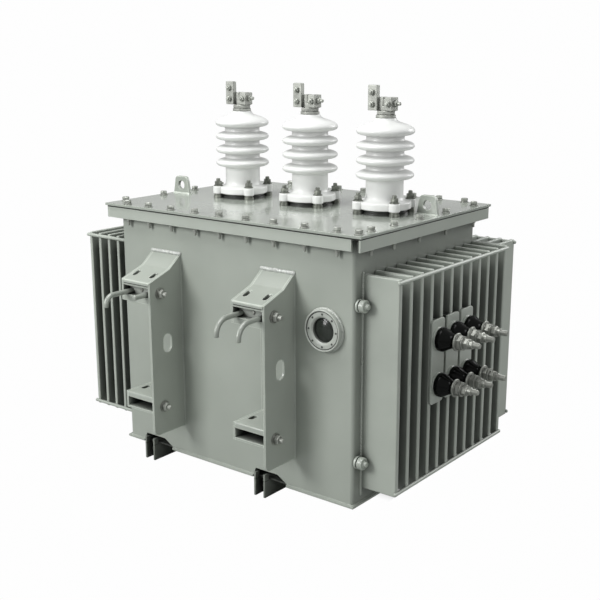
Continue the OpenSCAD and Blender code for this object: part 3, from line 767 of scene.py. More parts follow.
@dataclass
class Carried:
    """Model nodes that keep their own solids and only take a finish."""

    rims: tuple[str, ...] = ("rim_front", "rim_back", "rim_left", "rim_right")
    coolers: tuple[str, ...] = ("left_headers", "rear_sheet", "lv_ducts")
    brackets: tuple[str, ...] = ("side", "web")

    def dress(self) -> None:
        """Lays the finishes on the carried nodes."""
        # The rims take the lighter copy of the tank paint as painted light
        plan = {n: LIT_RIM_ENAMEL for n in self.rims}
        plan.update({n: LIT_FIN_ENAMEL for n in self.coolers})
        for side in ("left", "right"):
            plan.update({f"bracket_{side}_{n}": BRACKET_ENAMEL for n in self.brackets})
        plan.update({"cover_gasket": RUBBER, "cover_plate": COVER_ENAMEL})
        for node, finish in plan.items():
            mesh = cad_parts[node].data
            mesh.materials.clear()
            mesh.materials.append(finish.material())
            LOG.info("node %s takes %s", node, finish.name)


@dataclass
class Tank:
    """Walls of the tank with rounded corners, its foot lip and rails, and the welds round it."""

    half_x: float = 374.0
    half_y: float = 268.0
    low: float = 52.0
    top: float = 686.0
    sheet: float = 5.0
    corner: float = 9.0
    foot: float = 46.0
    lip: float = 5.0
    lip_depth: float = 45.0
    under_sheet: float = 4.0
    under_gap: tuple[float, float] = (3.0, 1.0)
    rails: tuple[float, float] = (-293.0, 97.0)
    rail_half: float = 18.0
    rail_sheet: float = 6.0
    rail_reach: float = 276.0
    cheek_in: float = 8.0
    cheek_lap: float = 4.0
    cheek_gap: float = 2.0
    web_in: float = 14.0
    notch: tuple[float, float] = (-24.0, 82.0)
    notch_h: float = 18.0
    notch_rise: float = 6.0
    notch_fall: float = 30.0
    seam_in: float = 31.0
    seam_z: tuple[float, float] = (70.0, 604.0)
    seam_bead: tuple[float, float] = (3.6, 7.0)
    lip_bead: tuple[float, float] = (2.6, 6.0)

    def outline(self, inset: float, radius: float) -> list[tuple[float, float, float]]:
        """Draws the wall line with rounded corners and a step over each rail.

        Args:
            inset: Distance inside the outer faces.
            radius: Corner radius.

        Returns:
            Points of the line seen from above, each with the height of the notch there.
        """
        points: list[tuple[float, float, float]] = []
        for sx, sy, first in CORNERS:
            x, y = sx * (self.half_x - inset - radius), sy * (self.half_y - inset - radius)
            points += [(*p, 0.0) for p in quarter(x, y, radius, first)]
            if sx == sy:
                points += self.notches(sy * (self.half_y - inset), sy)
        return points

    def notches(self, y: float, side: int) -> list[tuple[float, float, float]]:
        """Draws the steps over the rails along the front or back wall.

        Args:
            y: Place of the wall face.
            side: One for the back wall, minus one for the front wall.

        Returns:
            Points from the first notch to the last, in the order of the wall line.
        """
        points = []
        for rail in self.rails:
            start, end = rail + self.notch[0], rail + self.notch[1]
            points += [(start, y, 0.0), (start + self.notch_rise, y, self.notch_h),
                       (end - self.notch_fall, y, self.notch_h), (end, y, 0.0)]
        return points if side < 0 else points[::-1]

    def lip_runs(self) -> list[tuple[float, float]]:
        """Lists the stretches of lip between the notches, left to right."""
        stops = [-self.half_x] + [rail + side for rail in self.rails for side in self.notch] + [self.half_x]
        return list(zip(stops[::2], stops[1::2]))

    def build(self) -> None:
        """Builds the walls, the foot and the welds."""
        self.build_walls()
        self.build_foot()
        self.build_underside()
        for side, rail in zip(("left", "right"), self.rails):
            self.build_rail(side, rail)
        self.build_welds()

    def build_walls(self) -> None:
        """Builds the front wall and the three others."""
        front, others = Shape(), Shape()
        outer, inner = self.outline(0, self.corner), self.outline(self.sheet, self.corner - self.sheet)
        rows = [[(x, y, self.low + h) for x, y, h in outer], [(x, y, self.top) for x, y, h in outer],
                [(x, y, self.top) for x, y, h in inner], [(x, y, self.low + h) for x, y, h in inner]]
        front_line = 0.5 - self.half_y
        for low, high in zip(rows, rows[1:] + rows[:1]):
            for i in range(len(low)):
                j = (i + 1) % len(low)
                bm = (front if max(outer[i][1], outer[j][1]) < front_line else others).bm
                bm.faces.new([bm.verts.new(metres(*p)) for p in (low[i], low[j], high[j], high[i])])
        for wall in (front, others):
            bmesh.ops.remove_doubles(wall.bm, verts=wall.bm.verts, dist=SAME_PLACE)
        # The front wall takes light painted shade; the other walls take deeper painted shade under the rims
        # and between the fins
        front.piece("tank_front_wall", ENAMEL, "tank_paint", ("front_wall",))
        others.piece("tank_side_walls", SHADED_ENAMEL, "tank_paint", ("back_wall", "left_wall", "right_wall"))

    def build_foot(self) -> None:
        """Builds the foot plate with its lip cut at the rails."""
        plate = Shape()
        x, y = self.half_x, self.half_y
        plate.block((-x - self.lip, -y + self.lip_depth, self.foot),
                    (x + self.lip, y - self.lip_depth, self.low))
        runs = self.lip_runs()
        for y0, y1 in ((-y - self.lip, -y + self.lip_depth), (y - self.lip_depth, y + self.lip)):
            for k, (x0, x1) in enumerate(runs):
                start = x0 - (self.lip if k == 0 else 0)
                end = x1 + (self.lip if k == len(runs) - 1 else 0)
                plate.block((start, y0, self.foot), (end, y1, self.low))
        plate.piece("foot_plate", ENAMEL, "tank_paint", ("base_plate",))

    def build_underside(self) -> None:
        """Builds the plates under the foot, near black as painted shade seen through the notches."""
        under = Shape()
        x, y = self.half_x - self.sheet, self.half_y - self.sheet
        depth, ceiling = self.half_y - self.lip_depth, self.low + self.notch_h
        gap, thin = self.under_gap
        under.block((-x, -y, ceiling), (x, y, ceiling + self.under_sheet), 0.5)
        under.block((-x, -depth, self.low), (x, depth, ceiling), 0.5)
        for side in (-1, 1):
            ends = sorted((side * (y - gap), side * (depth - thin)))
            under.block((-x, ends[0], self.foot + thin), (x, ends[1], self.low - thin), 0.5)
        # Near-black steel paints the shade seen through the notches
        under.piece("foot_plate_shade_underside", RING_STEEL, "tank_paint")

    def build_rail(self, side: str, rail: float) -> None:
        """Builds one rail with the cheeks that stand in the notches.

        Args:
            side: Side of the tank it is on.
            rail: Place of its middle line.
        """
        shape = Shape()
        y, half, reach = self.half_y, self.rail_half, self.rail_reach
        for way in (-1, 1):
            edge = sorted((rail + way * half, rail + way * (half - self.rail_sheet)))
            shape.block((edge[0], -reach, 0), (edge[1], reach, self.foot), 1.2)
            for y0, y1 in ((-reach, -y + self.cheek_in), (y - self.cheek_in, reach)):
                shape.block((edge[0], y0, self.foot - self.cheek_lap),
                            (edge[1], y1, self.foot + self.notch_h - self.cheek_gap), 1.2)
        shape.block((rail - half + 1, -y + self.web_in, self.foot - self.rail_sheet),
                    (rail + half - 1, y - self.web_in, self.foot), 0.8)
        shape.piece(f"foot_rail_{side}", SHADED_RAIL_ENAMEL, "tank_paint", (f"base_rail_{side}",))

    def build_welds(self) -> None:
        """Builds the upright seam near the front right corner and the welds along the lip."""
        welds = Shape()
        x, y = self.half_x, self.half_y
        low, top = ((x + 0.5, -y + self.seam_in, z) for z in self.seam_z)
        welds.bead(low, top, *self.seam_bead, seed=3)
        for k, (a, b) in enumerate((((x, -y), (x, y)), ((-x, y), (-x, -y)))):
            welds.bead((*a, self.low), (*b, self.low), *self.lip_bead, seed=10 + k)
        for wall in (-y, y):
            for k, (x0, x1) in enumerate(self.lip_runs()):
                welds.bead((x0, wall, self.low), (x1, wall, self.low), *self.lip_bead, seed=20 + k)
        welds.piece("tank_welds", WELD_ENAMEL, "tank_paint", angle=WELD_ANGLE)


@dataclass
class Cover:
    """Bolts round the cover and the lifting lugs on it."""

    top: float = 696.0
    leg: float = 681.0
    half_y: float = 277.0
    side_x: float = 386.0
    front_x: tuple[float, ...] = (-338, -262, -182, -100, -19, 66, 150, 241, 332)
    side_y: tuple[float, ...] = (-224, -131, -22, 101, 240)
    corner: tuple[float, float] = (389.0, -275.0)
    corner_turn: float = 20.0
    nut_drop: float = 17.0
    lug_x: float = 368.0
    lug_y: float = 45.0
    lug_half: float = 30.0
    lug_sheet: float = 5.0
    lug_hole: tuple[float, float] = (24.0, 12.0)
    lug_line: Profile = ((-30, 0), (30, 0), (23, 38), (21.5, 43), (18, 46.6), (13, 48), (-13, 48),
                         (-18, 46.6), (-21.5, 43), (-23, 38))

    def bolt(self, shape: Shape, x: float, y: float, turn: float) -> None:
        """Adds one cover bolt with washers, nut and shank end.

        Args:
            shape: Mesh to add to.
            x: Place across the front.
            y: Place front to back.
            turn: Turn of head and nut in degrees.
        """
        self.head(shape, x, y, turn)
        nut = self.leg - self.nut_drop
        shape.turned((x, y, self.leg), Way.DOWN, [(0, 0), (3.8, 0), (3.8, 38.6), (3, 40), (0, 40)], 16)
        shape.turned((x, y, nut), Way.DOWN, [(0, 0), (6.8, 0), (6.8, 1.8), (0, 1.8)], 20)
        shape.hexagon((x, y, nut - 1.8), Way.DOWN, 6.8, 9.6, turn)

    def head(self, shape: Shape, x: float, y: float, turn: float) -> None:
        """Adds the head of a cover bolt with its washers.

        Args:
            shape: Mesh to add to.
            x: Place across the front.
            y: Place front to back.
            turn: Turn of the head in degrees.
        """
        shape.turned((x, y, self.top), Way.UP, [(0, 0), (10.6, 0), (10.6, 1.8), (10, 2.2), (0, 2.2)], 24)
        shape.turned((x, y, self.top + 2.2), Way.UP, [(0, 0), (8.4, 0), (8.4, 2), (0, 2)], 20)
        shape.hexagon((x, y, self.top + 4.2), Way.UP, 9.2, 7.2, turn)

    def lug(self, side: str, x: float, y: float) -> None:
        """Builds one lifting lug with a rounded top and its welds.

        Args:
            side: Side of the cover it is on.
            x: Place across the front.
            y: Place front to back.
        """
        shape = Shape()
        height, radius = self.lug_hole
        shape.holed(self.lug_line, (0, height), radius, lambda u, v, d: (x + u, y + d, self.top + v),
                    -self.lug_sheet, self.lug_sheet, 1.2)
        for k, d in enumerate((-self.lug_sheet, self.lug_sheet)):
            shape.bead((x - self.lug_half, y + d, self.top), (x + self.lug_half, y + d, self.top), 3, 6,
                       seed=25 + 10 * k)
        shape.piece(f"lifting_lug_{side}_plate", BRACKET_ENAMEL, "tank_paint", (f"lifting_lug_{side}",))

    def build(self) -> None:
        """Builds the bolts and the lugs."""
        bolts = Shape()
        rng = random.Random(5)
        rows = [[(x, -self.half_y), (-x, self.half_y)] for x in self.front_x]
        rows += [[(self.side_x, y), (-self.side_x, -y)] for y in self.side_y]
        for place in (p for row in rows for p in row):
            self.bolt(bolts, *place, rng.uniform(0, 60))
        self.head(bolts, *self.corner, self.corner_turn)
        bolts.piece("cover_bolts", BOLT_METAL, "zinc_metal", angle=BOLT_ANGLE)
        # The corner shank is near black, as painted shade in the dark gap between the rims
        shank = Shape()
        shank.turned((*self.corner, self.leg), Way.DOWN, [(0, 0), (5, 0), (5, 20), (4, 21.4), (0, 21.4)], 16)
        shank.piece("shaded_corner_bolt_shank", RING_STEEL, "zinc_metal", angle=BOLT_ANGLE)
        self.lug("left", -self.lug_x, -self.lug_y)
        self.lug("right", self.lug_x, self.lug_y)


@dataclass
class HighVoltageBushing:
    """One porcelain bushing with its ring, flange bolts and terminal."""

    side: str
    x: float
    y: float = 10.0
    foot: float = 696.0
    flange: float = 708.0
    flange_line: Profile = ((0, 0), (63, 0), (65.4, 1), (66, 3), (66, 14), (65.2, 16.6), (63, 18), (54, 19.5),
                            (49, 22), (46.8, 27), (46, 34))
    low_shed: float = 789.0
    shed_pitch: float = 35.0
    sheds: int = 4
    shed_under: Profile = ((46, -15), (46.4, -12.4), (48, -11), (54, -9.8), (61, -8.4), (66.6, -6.2),
                           (70, -3), (71, 0.3))
    shed_over: Profile = ((70, 3.6), (66.8, 6.8), (61, 9.4), (54, 11.4), (48.6, 12.8), (46.6, 14.4))
    neck_line: Profile = ((70.2, 4), (67.4, 8), (62, 11.8), (54, 15.4), (45, 18.4), (37, 21), (31.4, 23.4),
                          (28, 26), (26.6, 29), (25.4, 31), (0, 31))
    turn: float = -36.0
    bolt_circle: float = 68.0

    def top_shed(self) -> float:
        """Says how high the uppermost shed lies."""
        return self.low_shed + (self.sheds - 1) * self.shed_pitch

    def porcelain_line(self) -> list[tuple[float, float]]:
        """Draws the porcelain from flange to neck as radius and height.

        Returns:
            Points of the line.
        """
        runs = [(self.flange, self.flange_line)]
        for i in range(self.sheds):
            height = self.low_shed + i * self.shed_pitch
            upper = self.shed_over if i < self.sheds - 1 else self.neck_line
            runs += [(height, self.shed_under), (height, upper)]
        return [(radius, height + rise) for height, line in runs for radius, rise in line]

    def build(self) -> None:
        """Builds porcelain, ring, bolts and terminal."""
        x, y = self.x, self.y
        shape, ring, bolts = Shape(), Shape(), Shape()
        shape.turned((x, y, 0), Way.UP, self.porcelain_line(), 72)
        ring.turned((x, y, self.foot), Way.UP, [(0, 0), (58, 0), (58, 5), (55, 5.4), (55, 9), (59, 9.4),
                                                (59, 12), (0, 12)], 56)
        for k in range(4):
            a = math.radians(self.turn + 90 * k)
            spot = (x + self.bolt_circle * math.cos(a), y + self.bolt_circle * math.sin(a))
            shape.turned((*spot, self.flange - 0.4), Way.UP, [(0, 0), (12.6, 0), (14, 1.5), (14, 17),
                                                              (13, 19.4), (11, 20.4), (0, 20.4)], 28)
            self.flange_bolt(bolts, spot, 20 * k)
        shape.piece(f"bushing_{self.side}_porcelain", PORCELAIN, "porcelain", (f"hv_porcelain_{self.side}",),
                    GLAZE_ANGLE)
        ring.piece(f"bushing_{self.side}_ring", RING_STEEL, "ring_metal", (f"hv_ring_{self.side}",))
        bolts.piece(f"bushing_{self.side}_bolts", DARK_STEEL, "zinc_metal", angle=BOLT_ANGLE)
        self.build_terminal()

    def flange_bolt(self, bolts: Shape, spot: tuple[float, float], turn: float) -> None:
        """Adds one flange bolt with spacer, washers, nut and stud end.

        Args:
            bolts: Mesh to add to.
            spot: Place seen from above.
            turn: Turn of the nut in degrees.
        """
        top = self.flange + 20
        bolts.turned((*spot, self.foot), Way.UP, [(0, 0), (12.6, 0), (12.6, 7), (11, 7.4), (11, 11.6),
                                                  (0, 11.6)], 24)
        bolts.turned((*spot, top), Way.UP, [(0, 0), (12, 0), (12, 2.2), (9.4, 2.4), (9.4, 4.6), (0, 4.6)], 24)
        bolts.hexagon((*spot, top + 4.6), Way.UP, 10, 8, turn)
        bolts.turned((*spot, top + 12.6), Way.UP, [(0, 0), (5.4, 0), (5.4, 6), (4.4, 7.4), (0, 7.4)], 14)

    def build_terminal(self) -> None:
        """Builds the nut, clamp, pad and their bolts."""
        x, y, z = self.x, self.y, self.top_shed() + self.neck_line[-1][1]
        shape = Shape()
        shape.turned((x, y, z), Way.UP, [(0, 0), (22, 0), (24, 1), (24, 6.4), (22.6, 7.6), (20, 7.8)], 40)
        shape.turned((x, y, z + 7.8), Way.UP, [(19, 0), (22, 0.2), (23.2, 1.2), (23.2, 7.6), (22, 8.8),
                                               (0, 9.2)], 8, 11)
        top = z + 17
        shape.block((x + 5, y - 15, top), (x + 25, y + 15, top + 32), 1.6)
        shape.block((x - 18, y - 6, top), (x - 5, y + 15, top + 32), 1.4)
        shape.block((x - 6, y - 13, top - 1), (x + 22, y + 13, top + 11), 1.2)
        shape.block((x - 43, y - 15, top), (x - 17, y - 1, top + 60), 1.6)
        shape.turned((x, y, top), Way.UP, [(0, 0), (7, 0), (7, 26), (5.6, 27.5), (0, 27.5)], 18)
        shape.piece(f"bushing_{self.side}_terminal", CAST_METAL, "terminal_metal",
                    (f"hv_terminal_{self.side}",))
        bolts = Shape()
        for bx, bz in ((x - 30, top + 15), (x - 30, top + 43), (x + 15, top + 16)):
            bolts.turned((bx, y - 15, bz), Way.FRONT, [(0, 0), (8, 0), (8, 1.6), (0, 1.6)], 20)
            bolts.hexagon((bx, y - 16.6, bz), Way.FRONT, 6.8, 5.4, 12)
            bolts.turned((bx, y - 22, bz), Way.FRONT, [(0, 0), (3.8, 0), (3.8, 3.4), (3, 4.4), (0, 4.4)], 14)
        bolts.turned((x + 25, y, top + 17), Way.RIGHT, [(0, 0), (8.4, 0), (8.4, 1.8), (0, 1.8)], 20)
        bolts.hexagon((x + 26.8, y, top + 17), Way.RIGHT, 7.6, 6.2, 8)
        bolts.turned((x + 33, y, top + 17), Way.RIGHT, [(0, 0), (4.2, 0), (4.2, 7), (3.2, 8.4), (0, 8.4)], 14)
        bolts.piece(f"bushing_{self.side}_terminal_bolts", BOLT_METAL, "zinc_metal", angle=BOLT_ANGLE)


@dataclass
class CoolingBanks:
    """Fins, panels and tie rods on the right, left and back of the tank."""

    radius: float = 4.5
    inset: float = 8.0
    rod_in: float = 3.0
    top: float = 600.0
    right_x: tuple[float, float] = (374.0, 471.0)
    right_y: tuple[float, float] = (-241.0, 273.0)
    right_low: float = 88.0
    right_first: float = -236.0
    right_span: float = 491.0
    right_fins: int = 12
    right_sheet: float = 13.0
    window_fin: int = 5
    window_z: tuple[float, float] = (276.0, 477.0)
    left_x: tuple[float, float] = (-536.0, -374.0)
    left_y: float = 250.0
    left_low: float = 104.0
    left_pitch: float = 36.0
    left_panels: int = 4
    sheet: float = 10.0
    rear_x: float = 454.0
    rear_y: tuple[float, float] = (273.0, 352.0)
    rear_low: float = 115.0
    rear_first: float = -449.0
    rear_span: float = 888.0
    rear_fins: int = 26

    def build(self) -> None:
        """Builds the fins and the rods of the three banks."""
        self.build_right_fins()
        self.build_left_panels()
        self.build_rear_fins()
        right, (x0, x1), back = self.right_x[1], self.left_x, self.rear_y[1]
        y0, y1 = self.right_y
        self.build_rods("right_rods", "right_fin_rods", self.right_low,
                        [((right, y0 + self.rod_in), (right, y1 - self.rod_in))])
        self.build_rods("left_rods", "left_panel_rods", self.left_low,
                        [((x0 + self.rod_in, y), (x1, y)) for y in (-self.left_y, self.left_y)])
        self.build_rods("rear_rods", "rear_fin_rods", self.rear_low,
                        [((-self.rear_x + self.rod_in, back), (self.rear_x - self.rod_in, back))])

    def build_right_fins(self) -> None:
        """Builds the right fins, one of them cut out for the low voltage terminals."""
        shape = Shape()
        (x0, x1), low, top = self.right_x, self.right_low, self.top
        for i in range(self.right_fins):
            y = self.right_first + i * self.right_span / (self.right_fins - 1)
            stops = (low, *self.window_z, top) if i == self.window_fin else (low, top)
            for z0, z1 in zip(stops[::2], stops[1::2]):
                shape.block((x0, y, z0), (x1, y + self.right_sheet, z1), 3.2, 3)
        shape.piece("right_pressed_fins", LIT_FIN_ENAMEL, "cooler_paint", ("right_fins",))

    def build_left_panels(self) -> None:
        """Builds the panels that stand along the left wall."""
        shape = Shape()
        for i in range(self.left_panels):
            x = self.left_x[1] - self.left_pitch * (i + 1)
            shape.block((x - self.sheet, -self.left_y, self.left_low), (x, self.left_y, self.top), 3.0, 3)
        shape.piece("left_pressed_panels", LIT_FIN_ENAMEL, "cooler_paint", ("left_panels",))

    def build_rear_fins(self) -> None:
        """Builds the fins behind the tank."""
        shape = Shape()
        for i in range(self.rear_fins):
            x = self.rear_first + i * self.rear_span / (self.rear_fins - 1)
            shape.block((x, self.rear_y[0], self.rear_low), (x + self.sheet, self.rear_y[1], self.top),
                        3.0, 3)
        shape.piece("rear_pressed_fins", LIT_FIN_ENAMEL, "cooler_paint", ("rear_fins",))

    def build_rods(self, name: str, node: str, low: float, runs: Sequence[tuple[Point, Point]]) -> None:
        """Builds the tie rods near the lower and upper ends of one bank.

        Args:
            name: Name of the piece.
            node: Model node that it stands for.
            low: Height of the bank's lower end.
            runs: Start and end of each rod, seen from above.
        """
        shape = Shape()
        for z in (low + self.inset, self.top - self.inset):
            for start, end in runs:
                shape.rod([(*start, z), (*end, z)], self.radius)
        shape.piece(name, LIT_FIN_ENAMEL, "cooler_paint", (node,))


@dataclass
class LowVoltageTerminals:
    """Three plates with black insulators, nuts and studs."""

    face: float = 477.0
    middle_y: float = -6.32
    pitch: float = 66.95
    rows: tuple[float, float] = (321.0, 432.0)
    plate_z: tuple[float, float] = (274.0, 479.0)
    plate_half: float = 28.5
    plate_corner: float = 9.0
    plate_sheet: float = 6.0
    ring_line: Profile = ((0, 0), (28, 0), (28, 3.6), (26.8, 5), (24, 6), (0, 6))
    cone_line: Profile = ((0, 0), (27.4, 0), (29, 1.4), (29, 8), (28, 12), (24.6, 18), (20, 26), (17.6, 32),
                          (16.6, 36), (17.6, 37.6), (17.6, 41), (16.4, 42), (0, 42))
    low_washer: Profile = ((0, 0), (20.4, 0), (21.4, 0.8), (21.4, 3.2), (20.4, 4), (17.6, 4.2), (17.6, 6.4),
                           (0, 6.4))
    top_washer: Profile = ((0, 0), (16.4, 0), (17, 0.6), (17, 2.8), (13.4, 3), (13.4, 5), (0, 5))
    sleeve: Profile = ((0, 0), (11.6, 0), (11.6, 2.6), (9.6, 3), (9.6, 10), (8.6, 11), (0, 11))
    cone_out: float = 6.0
    stack_out: tuple[float, ...] = (48.0, 54.4, 65.4, 70.4, 80.4, 91.4)
    nuts: Profile = ((18, 11), (14, 10))
    stud_r: float = 7.0
    thread: float = 1.1
    thread_step: float = 1.3
    thread_rings: int = 12

    def build(self) -> None:
        """Builds rings, insulators, terminals and plates."""
        rings, cones, metal = Shape(), Shape(), Shape()
        for i in (-1, 0, 1):
            for k, z in enumerate(self.rows):
                foot = (self.face, self.middle_y + i * self.pitch, z)
                rings.turned(foot, Way.RIGHT, self.ring_line, 44)
                cones.turned((foot[0] + self.cone_out, *foot[1:]), Way.RIGHT, self.cone_line, 44)
                self.add_stud(metal, foot, (10 * k + 7 * i, 25 * k + 11 * i))
        self.build_plates()
        rings.piece("lv_base_rings", LIT_PLATE_ENAMEL, "zinc_metal", ("lv_rings",))
        cones.piece("lv_black_insulators", BLACK_RESIN, "black_insulator", ("lv_insulators",), GLAZE_ANGLE)
        metal.piece("lv_studs", STUD_METAL, "terminal_metal", ("lv_terminals",), BOLT_ANGLE)

    def add_stud(self, metal: Shape, foot: tuple[float, float, float], turns: tuple[float, float]) -> None:
        """Adds the washers, nuts, sleeve and threaded end of one terminal.

        Args:
            metal: Mesh to add to.
            foot: Point on the plate under the terminal.
            turns: Turns of the two nuts in degrees.
        """
        at = [(foot[0] + out, *foot[1:]) for out in self.stack_out]
        thread = [(self.stud_r - self.thread * (n % 2), 0.6 + self.thread_step * n)
                  for n in range(self.thread_rings)]
        metal.turned(at[0], Way.RIGHT, self.low_washer, 36)
        metal.hexagon(at[1], Way.RIGHT, *self.nuts[0], turns[0])
        metal.turned(at[2], Way.RIGHT, self.top_washer, 36)
        metal.hexagon(at[3], Way.RIGHT, *self.nuts[1], turns[1])
        metal.turned(at[4], Way.RIGHT, self.sleeve, 28)
        metal.turned(at[5], Way.RIGHT, [(self.stud_r, 0)] + thread + [(5.4, 17), (0, 18.2)], 24)

    def build_plates(self) -> None:
        """Builds the three plates with rounded corners."""
        shape = Shape()
        r, (low, top) = self.plate_corner, self.plate_z
        for i in (-1, 0, 1):
            y = self.middle_y + i * self.pitch
            line = []
            for sy, sz, first in CORNERS:
                line += quarter(y + sy * (self.plate_half - r), top - r if sz > 0 else low + r, r, first)
            shape.prism(line, lambda u, v, d: (d, u, v), self.face - self.plate_sheet, self.face, 1.2)
        shape.piece("lv_mounting_plates", LIT_PLATE_ENAMEL, "tank_paint", ("lv_plates",))


@dataclass
class HangerBracket:
    """Plates, boxes, rods, through-bolts and welds of one hanger bracket."""

    side: str
    x: float
    wall: float = -268.0
    depth: float = 110.0
    half: float = 50.0
    rod_r: float = 6.5
    hook_z: float = 496.5
    hook_x: float = 33.0
    hook_reach: float = 76.0
    stub_reach: float = 36.0
    bend: float = 36.0
    bend_steps: int = 12
    hook_tip: float = 2.0
    lip_z: float = 528.0
    lip_half: float = 46.0
    shadow_strip_half: float = 43.0
    knee: float = 40.0
    knee_z: float = 552.0
    shelf_z: float = 232.0
    recess: float = 20.0
    box_in: float = 7.0
    box_low: float = 475.0
    box_top: float = 513.0
    box_sheet: float = 4.0
    bolts: tuple[tuple[float, float], ...] = ((-344.0, 497.0), (-342.0, 201.0))
    weld_z: tuple[float, float] = (128.0, 584.0)
    bead_z: float = 585.0

    def build(self) -> None:
        """Builds plates, rods, bolts and welds."""
        self.build_plates()
        self.build_rods()
        self.build_bolts()
        self.build_welds()

    def build_plates(self) -> None:
        """Builds the bent top plate and shelf, and a dark strip under the lip as painted shadow."""
        front, x = self.wall - self.depth, self.x
        bends = {"top": ((front, self.lip_z), (self.wall - self.knee, self.knee_z)),
                 "shelf": ((front, self.shelf_z),)}
        for part, lines in bends.items():
            shape = Shape()
            shape.bent(f"bracket_{self.side}_{part}", lines)
            if part == "top":
                shape.block((x - self.lip_half, front - 2.4, self.lip_z - 8),
                            (x + self.lip_half, front + 3, self.lip_z - 0.6), 1.6, 3)
            shape.piece(f"bracket_{self.side}_{part}_plate", BRACKET_ENAMEL, "bracket_paint",
                        (f"bracket_{self.side}_{part}",))
        # A thin near-black strip paints the shadow under the overhanging lip
        seam = Shape()
        seam.block((x - self.shadow_strip_half, front - 0.5, self.lip_z - 10),
                   (x + self.shadow_strip_half, front + 1, self.lip_z - 8), 0.3)
        seam.piece(f"bracket_{self.side}_lip_shadow_strip", RUBBER, "bracket_paint")

    def hook(self, shape: Shape, x: float) -> None:
        """Adds one bent rod.

        Args:
            shape: Mesh to add to.
            x: Place across the front.
        """
        front = self.wall - self.depth - self.hook_reach + self.bend + self.rod_r
        path = [(x, self.wall, self.hook_z), (x, front, self.hook_z)]
        for k in range(1, self.bend_steps + 1):
            a = math.radians(90 / self.bend_steps * k)
            path.append((x, front - self.bend * math.sin(a), self.hook_z - self.bend * (1 - math.cos(a))))
        path.append((x, front - self.bend, self.hook_z - self.bend - self.hook_tip))
        shape.rod(path, self.rod_r, 20, 0.35)

    def build_rods(self) -> None:
        """Builds the two rods; the right rod of the left bracket is a straight stub."""
        hooks = Shape()
        self.hook(hooks, self.x - self.hook_x)
        x = self.x + self.hook_x
        if self.side == "left":
            end = self.wall - self.depth - self.stub_reach
            hooks.rod([(x, self.wall, self.hook_z), (x, end, self.hook_z)], self.rod_r, 20, 0.3)
        else:
            self.hook(hooks, x)
        hooks.piece(f"bracket_{self.side}_bent_rods", SHADED_ROD_ENAMEL, "bracket_paint",
                    (f"bracket_{self.side}_hooks",))

    def build_bolts(self) -> None:
        """Builds the plate inside the upper box with its screw, and the through-bolts."""
        back, bolts, washers = Shape(), Shape(), Shape()
        at, inside = self.wall - self.depth + self.recess, self.half - self.box_in
        back.block((self.x - inside, at, self.box_low),
                   (self.x + inside, at + self.box_sheet, self.box_top), 0.8)
        back.piece(f"bracket_{self.side}_box_back", GAUGE_ENAMEL, "bracket_paint")
        bolts.turned((self.x + 2, at, self.hook_z + 6), Way.FRONT,
                     [(0, 0), (4.6, 0), (4.6, 2), (3.4, 3.2), (0, 3.4)], 20)
        right, left = self.x + self.half, self.x - self.half
        for y, z in self.bolts:
            washers.turned((right, y, z), Way.RIGHT, [(0, 0), (14.6, 0), (15, 0.5), (15, 2.4), (11, 2.7),
                                                      (11, 5), (0, 5)], 28)
            bolts.hexagon((right + 5, y, z), Way.RIGHT, 12, 9, 10)
            bolts.turned((right + 14, y, z), Way.RIGHT, [(0, 0), (6, 0), (6, 9), (4.8, 10.6), (0, 10.6)], 16)
            washers.turned((left, y, z), Way.LEFT, [(0, 0), (13, 0), (13, 2.4), (0, 2.4)], 28)
            bolts.hexagon((left - 2.4, y, z), Way.LEFT, 10.6, 8, 25)
        bolts.piece(f"bracket_{self.side}_bolts", BOLT_METAL, "zinc_metal", angle=BOLT_ANGLE)
        washers.piece(f"bracket_{self.side}_washers", STUD_METAL, "zinc_metal", angle=BOLT_ANGLE)

    def build_welds(self) -> None:
        """Builds the welds along the wall and the bead over the top plate, painted light as a highlight."""
        welds, bead = Shape(), Shape()
        edges = (self.x - self.half, self.x + self.half)
        for x in edges:
            welds.bead((x, self.wall, self.weld_z[0]), (x, self.wall, self.weld_z[1]), 2.4, 7, seed=int(x))
        welds.piece(f"bracket_{self.side}_welds", WELD_ENAMEL, "bracket_paint", angle=WELD_ANGLE)
        # The top bead is painted light as a highlight
        bead.bead(*((x, self.wall - 1, self.bead_z) for x in edges), 5.0, 9, seed=9)
        bead.piece(f"bracket_{self.side}_top_bead", LIT_BEAD_ENAMEL, "bracket_paint", angle=WELD_ANGLE)


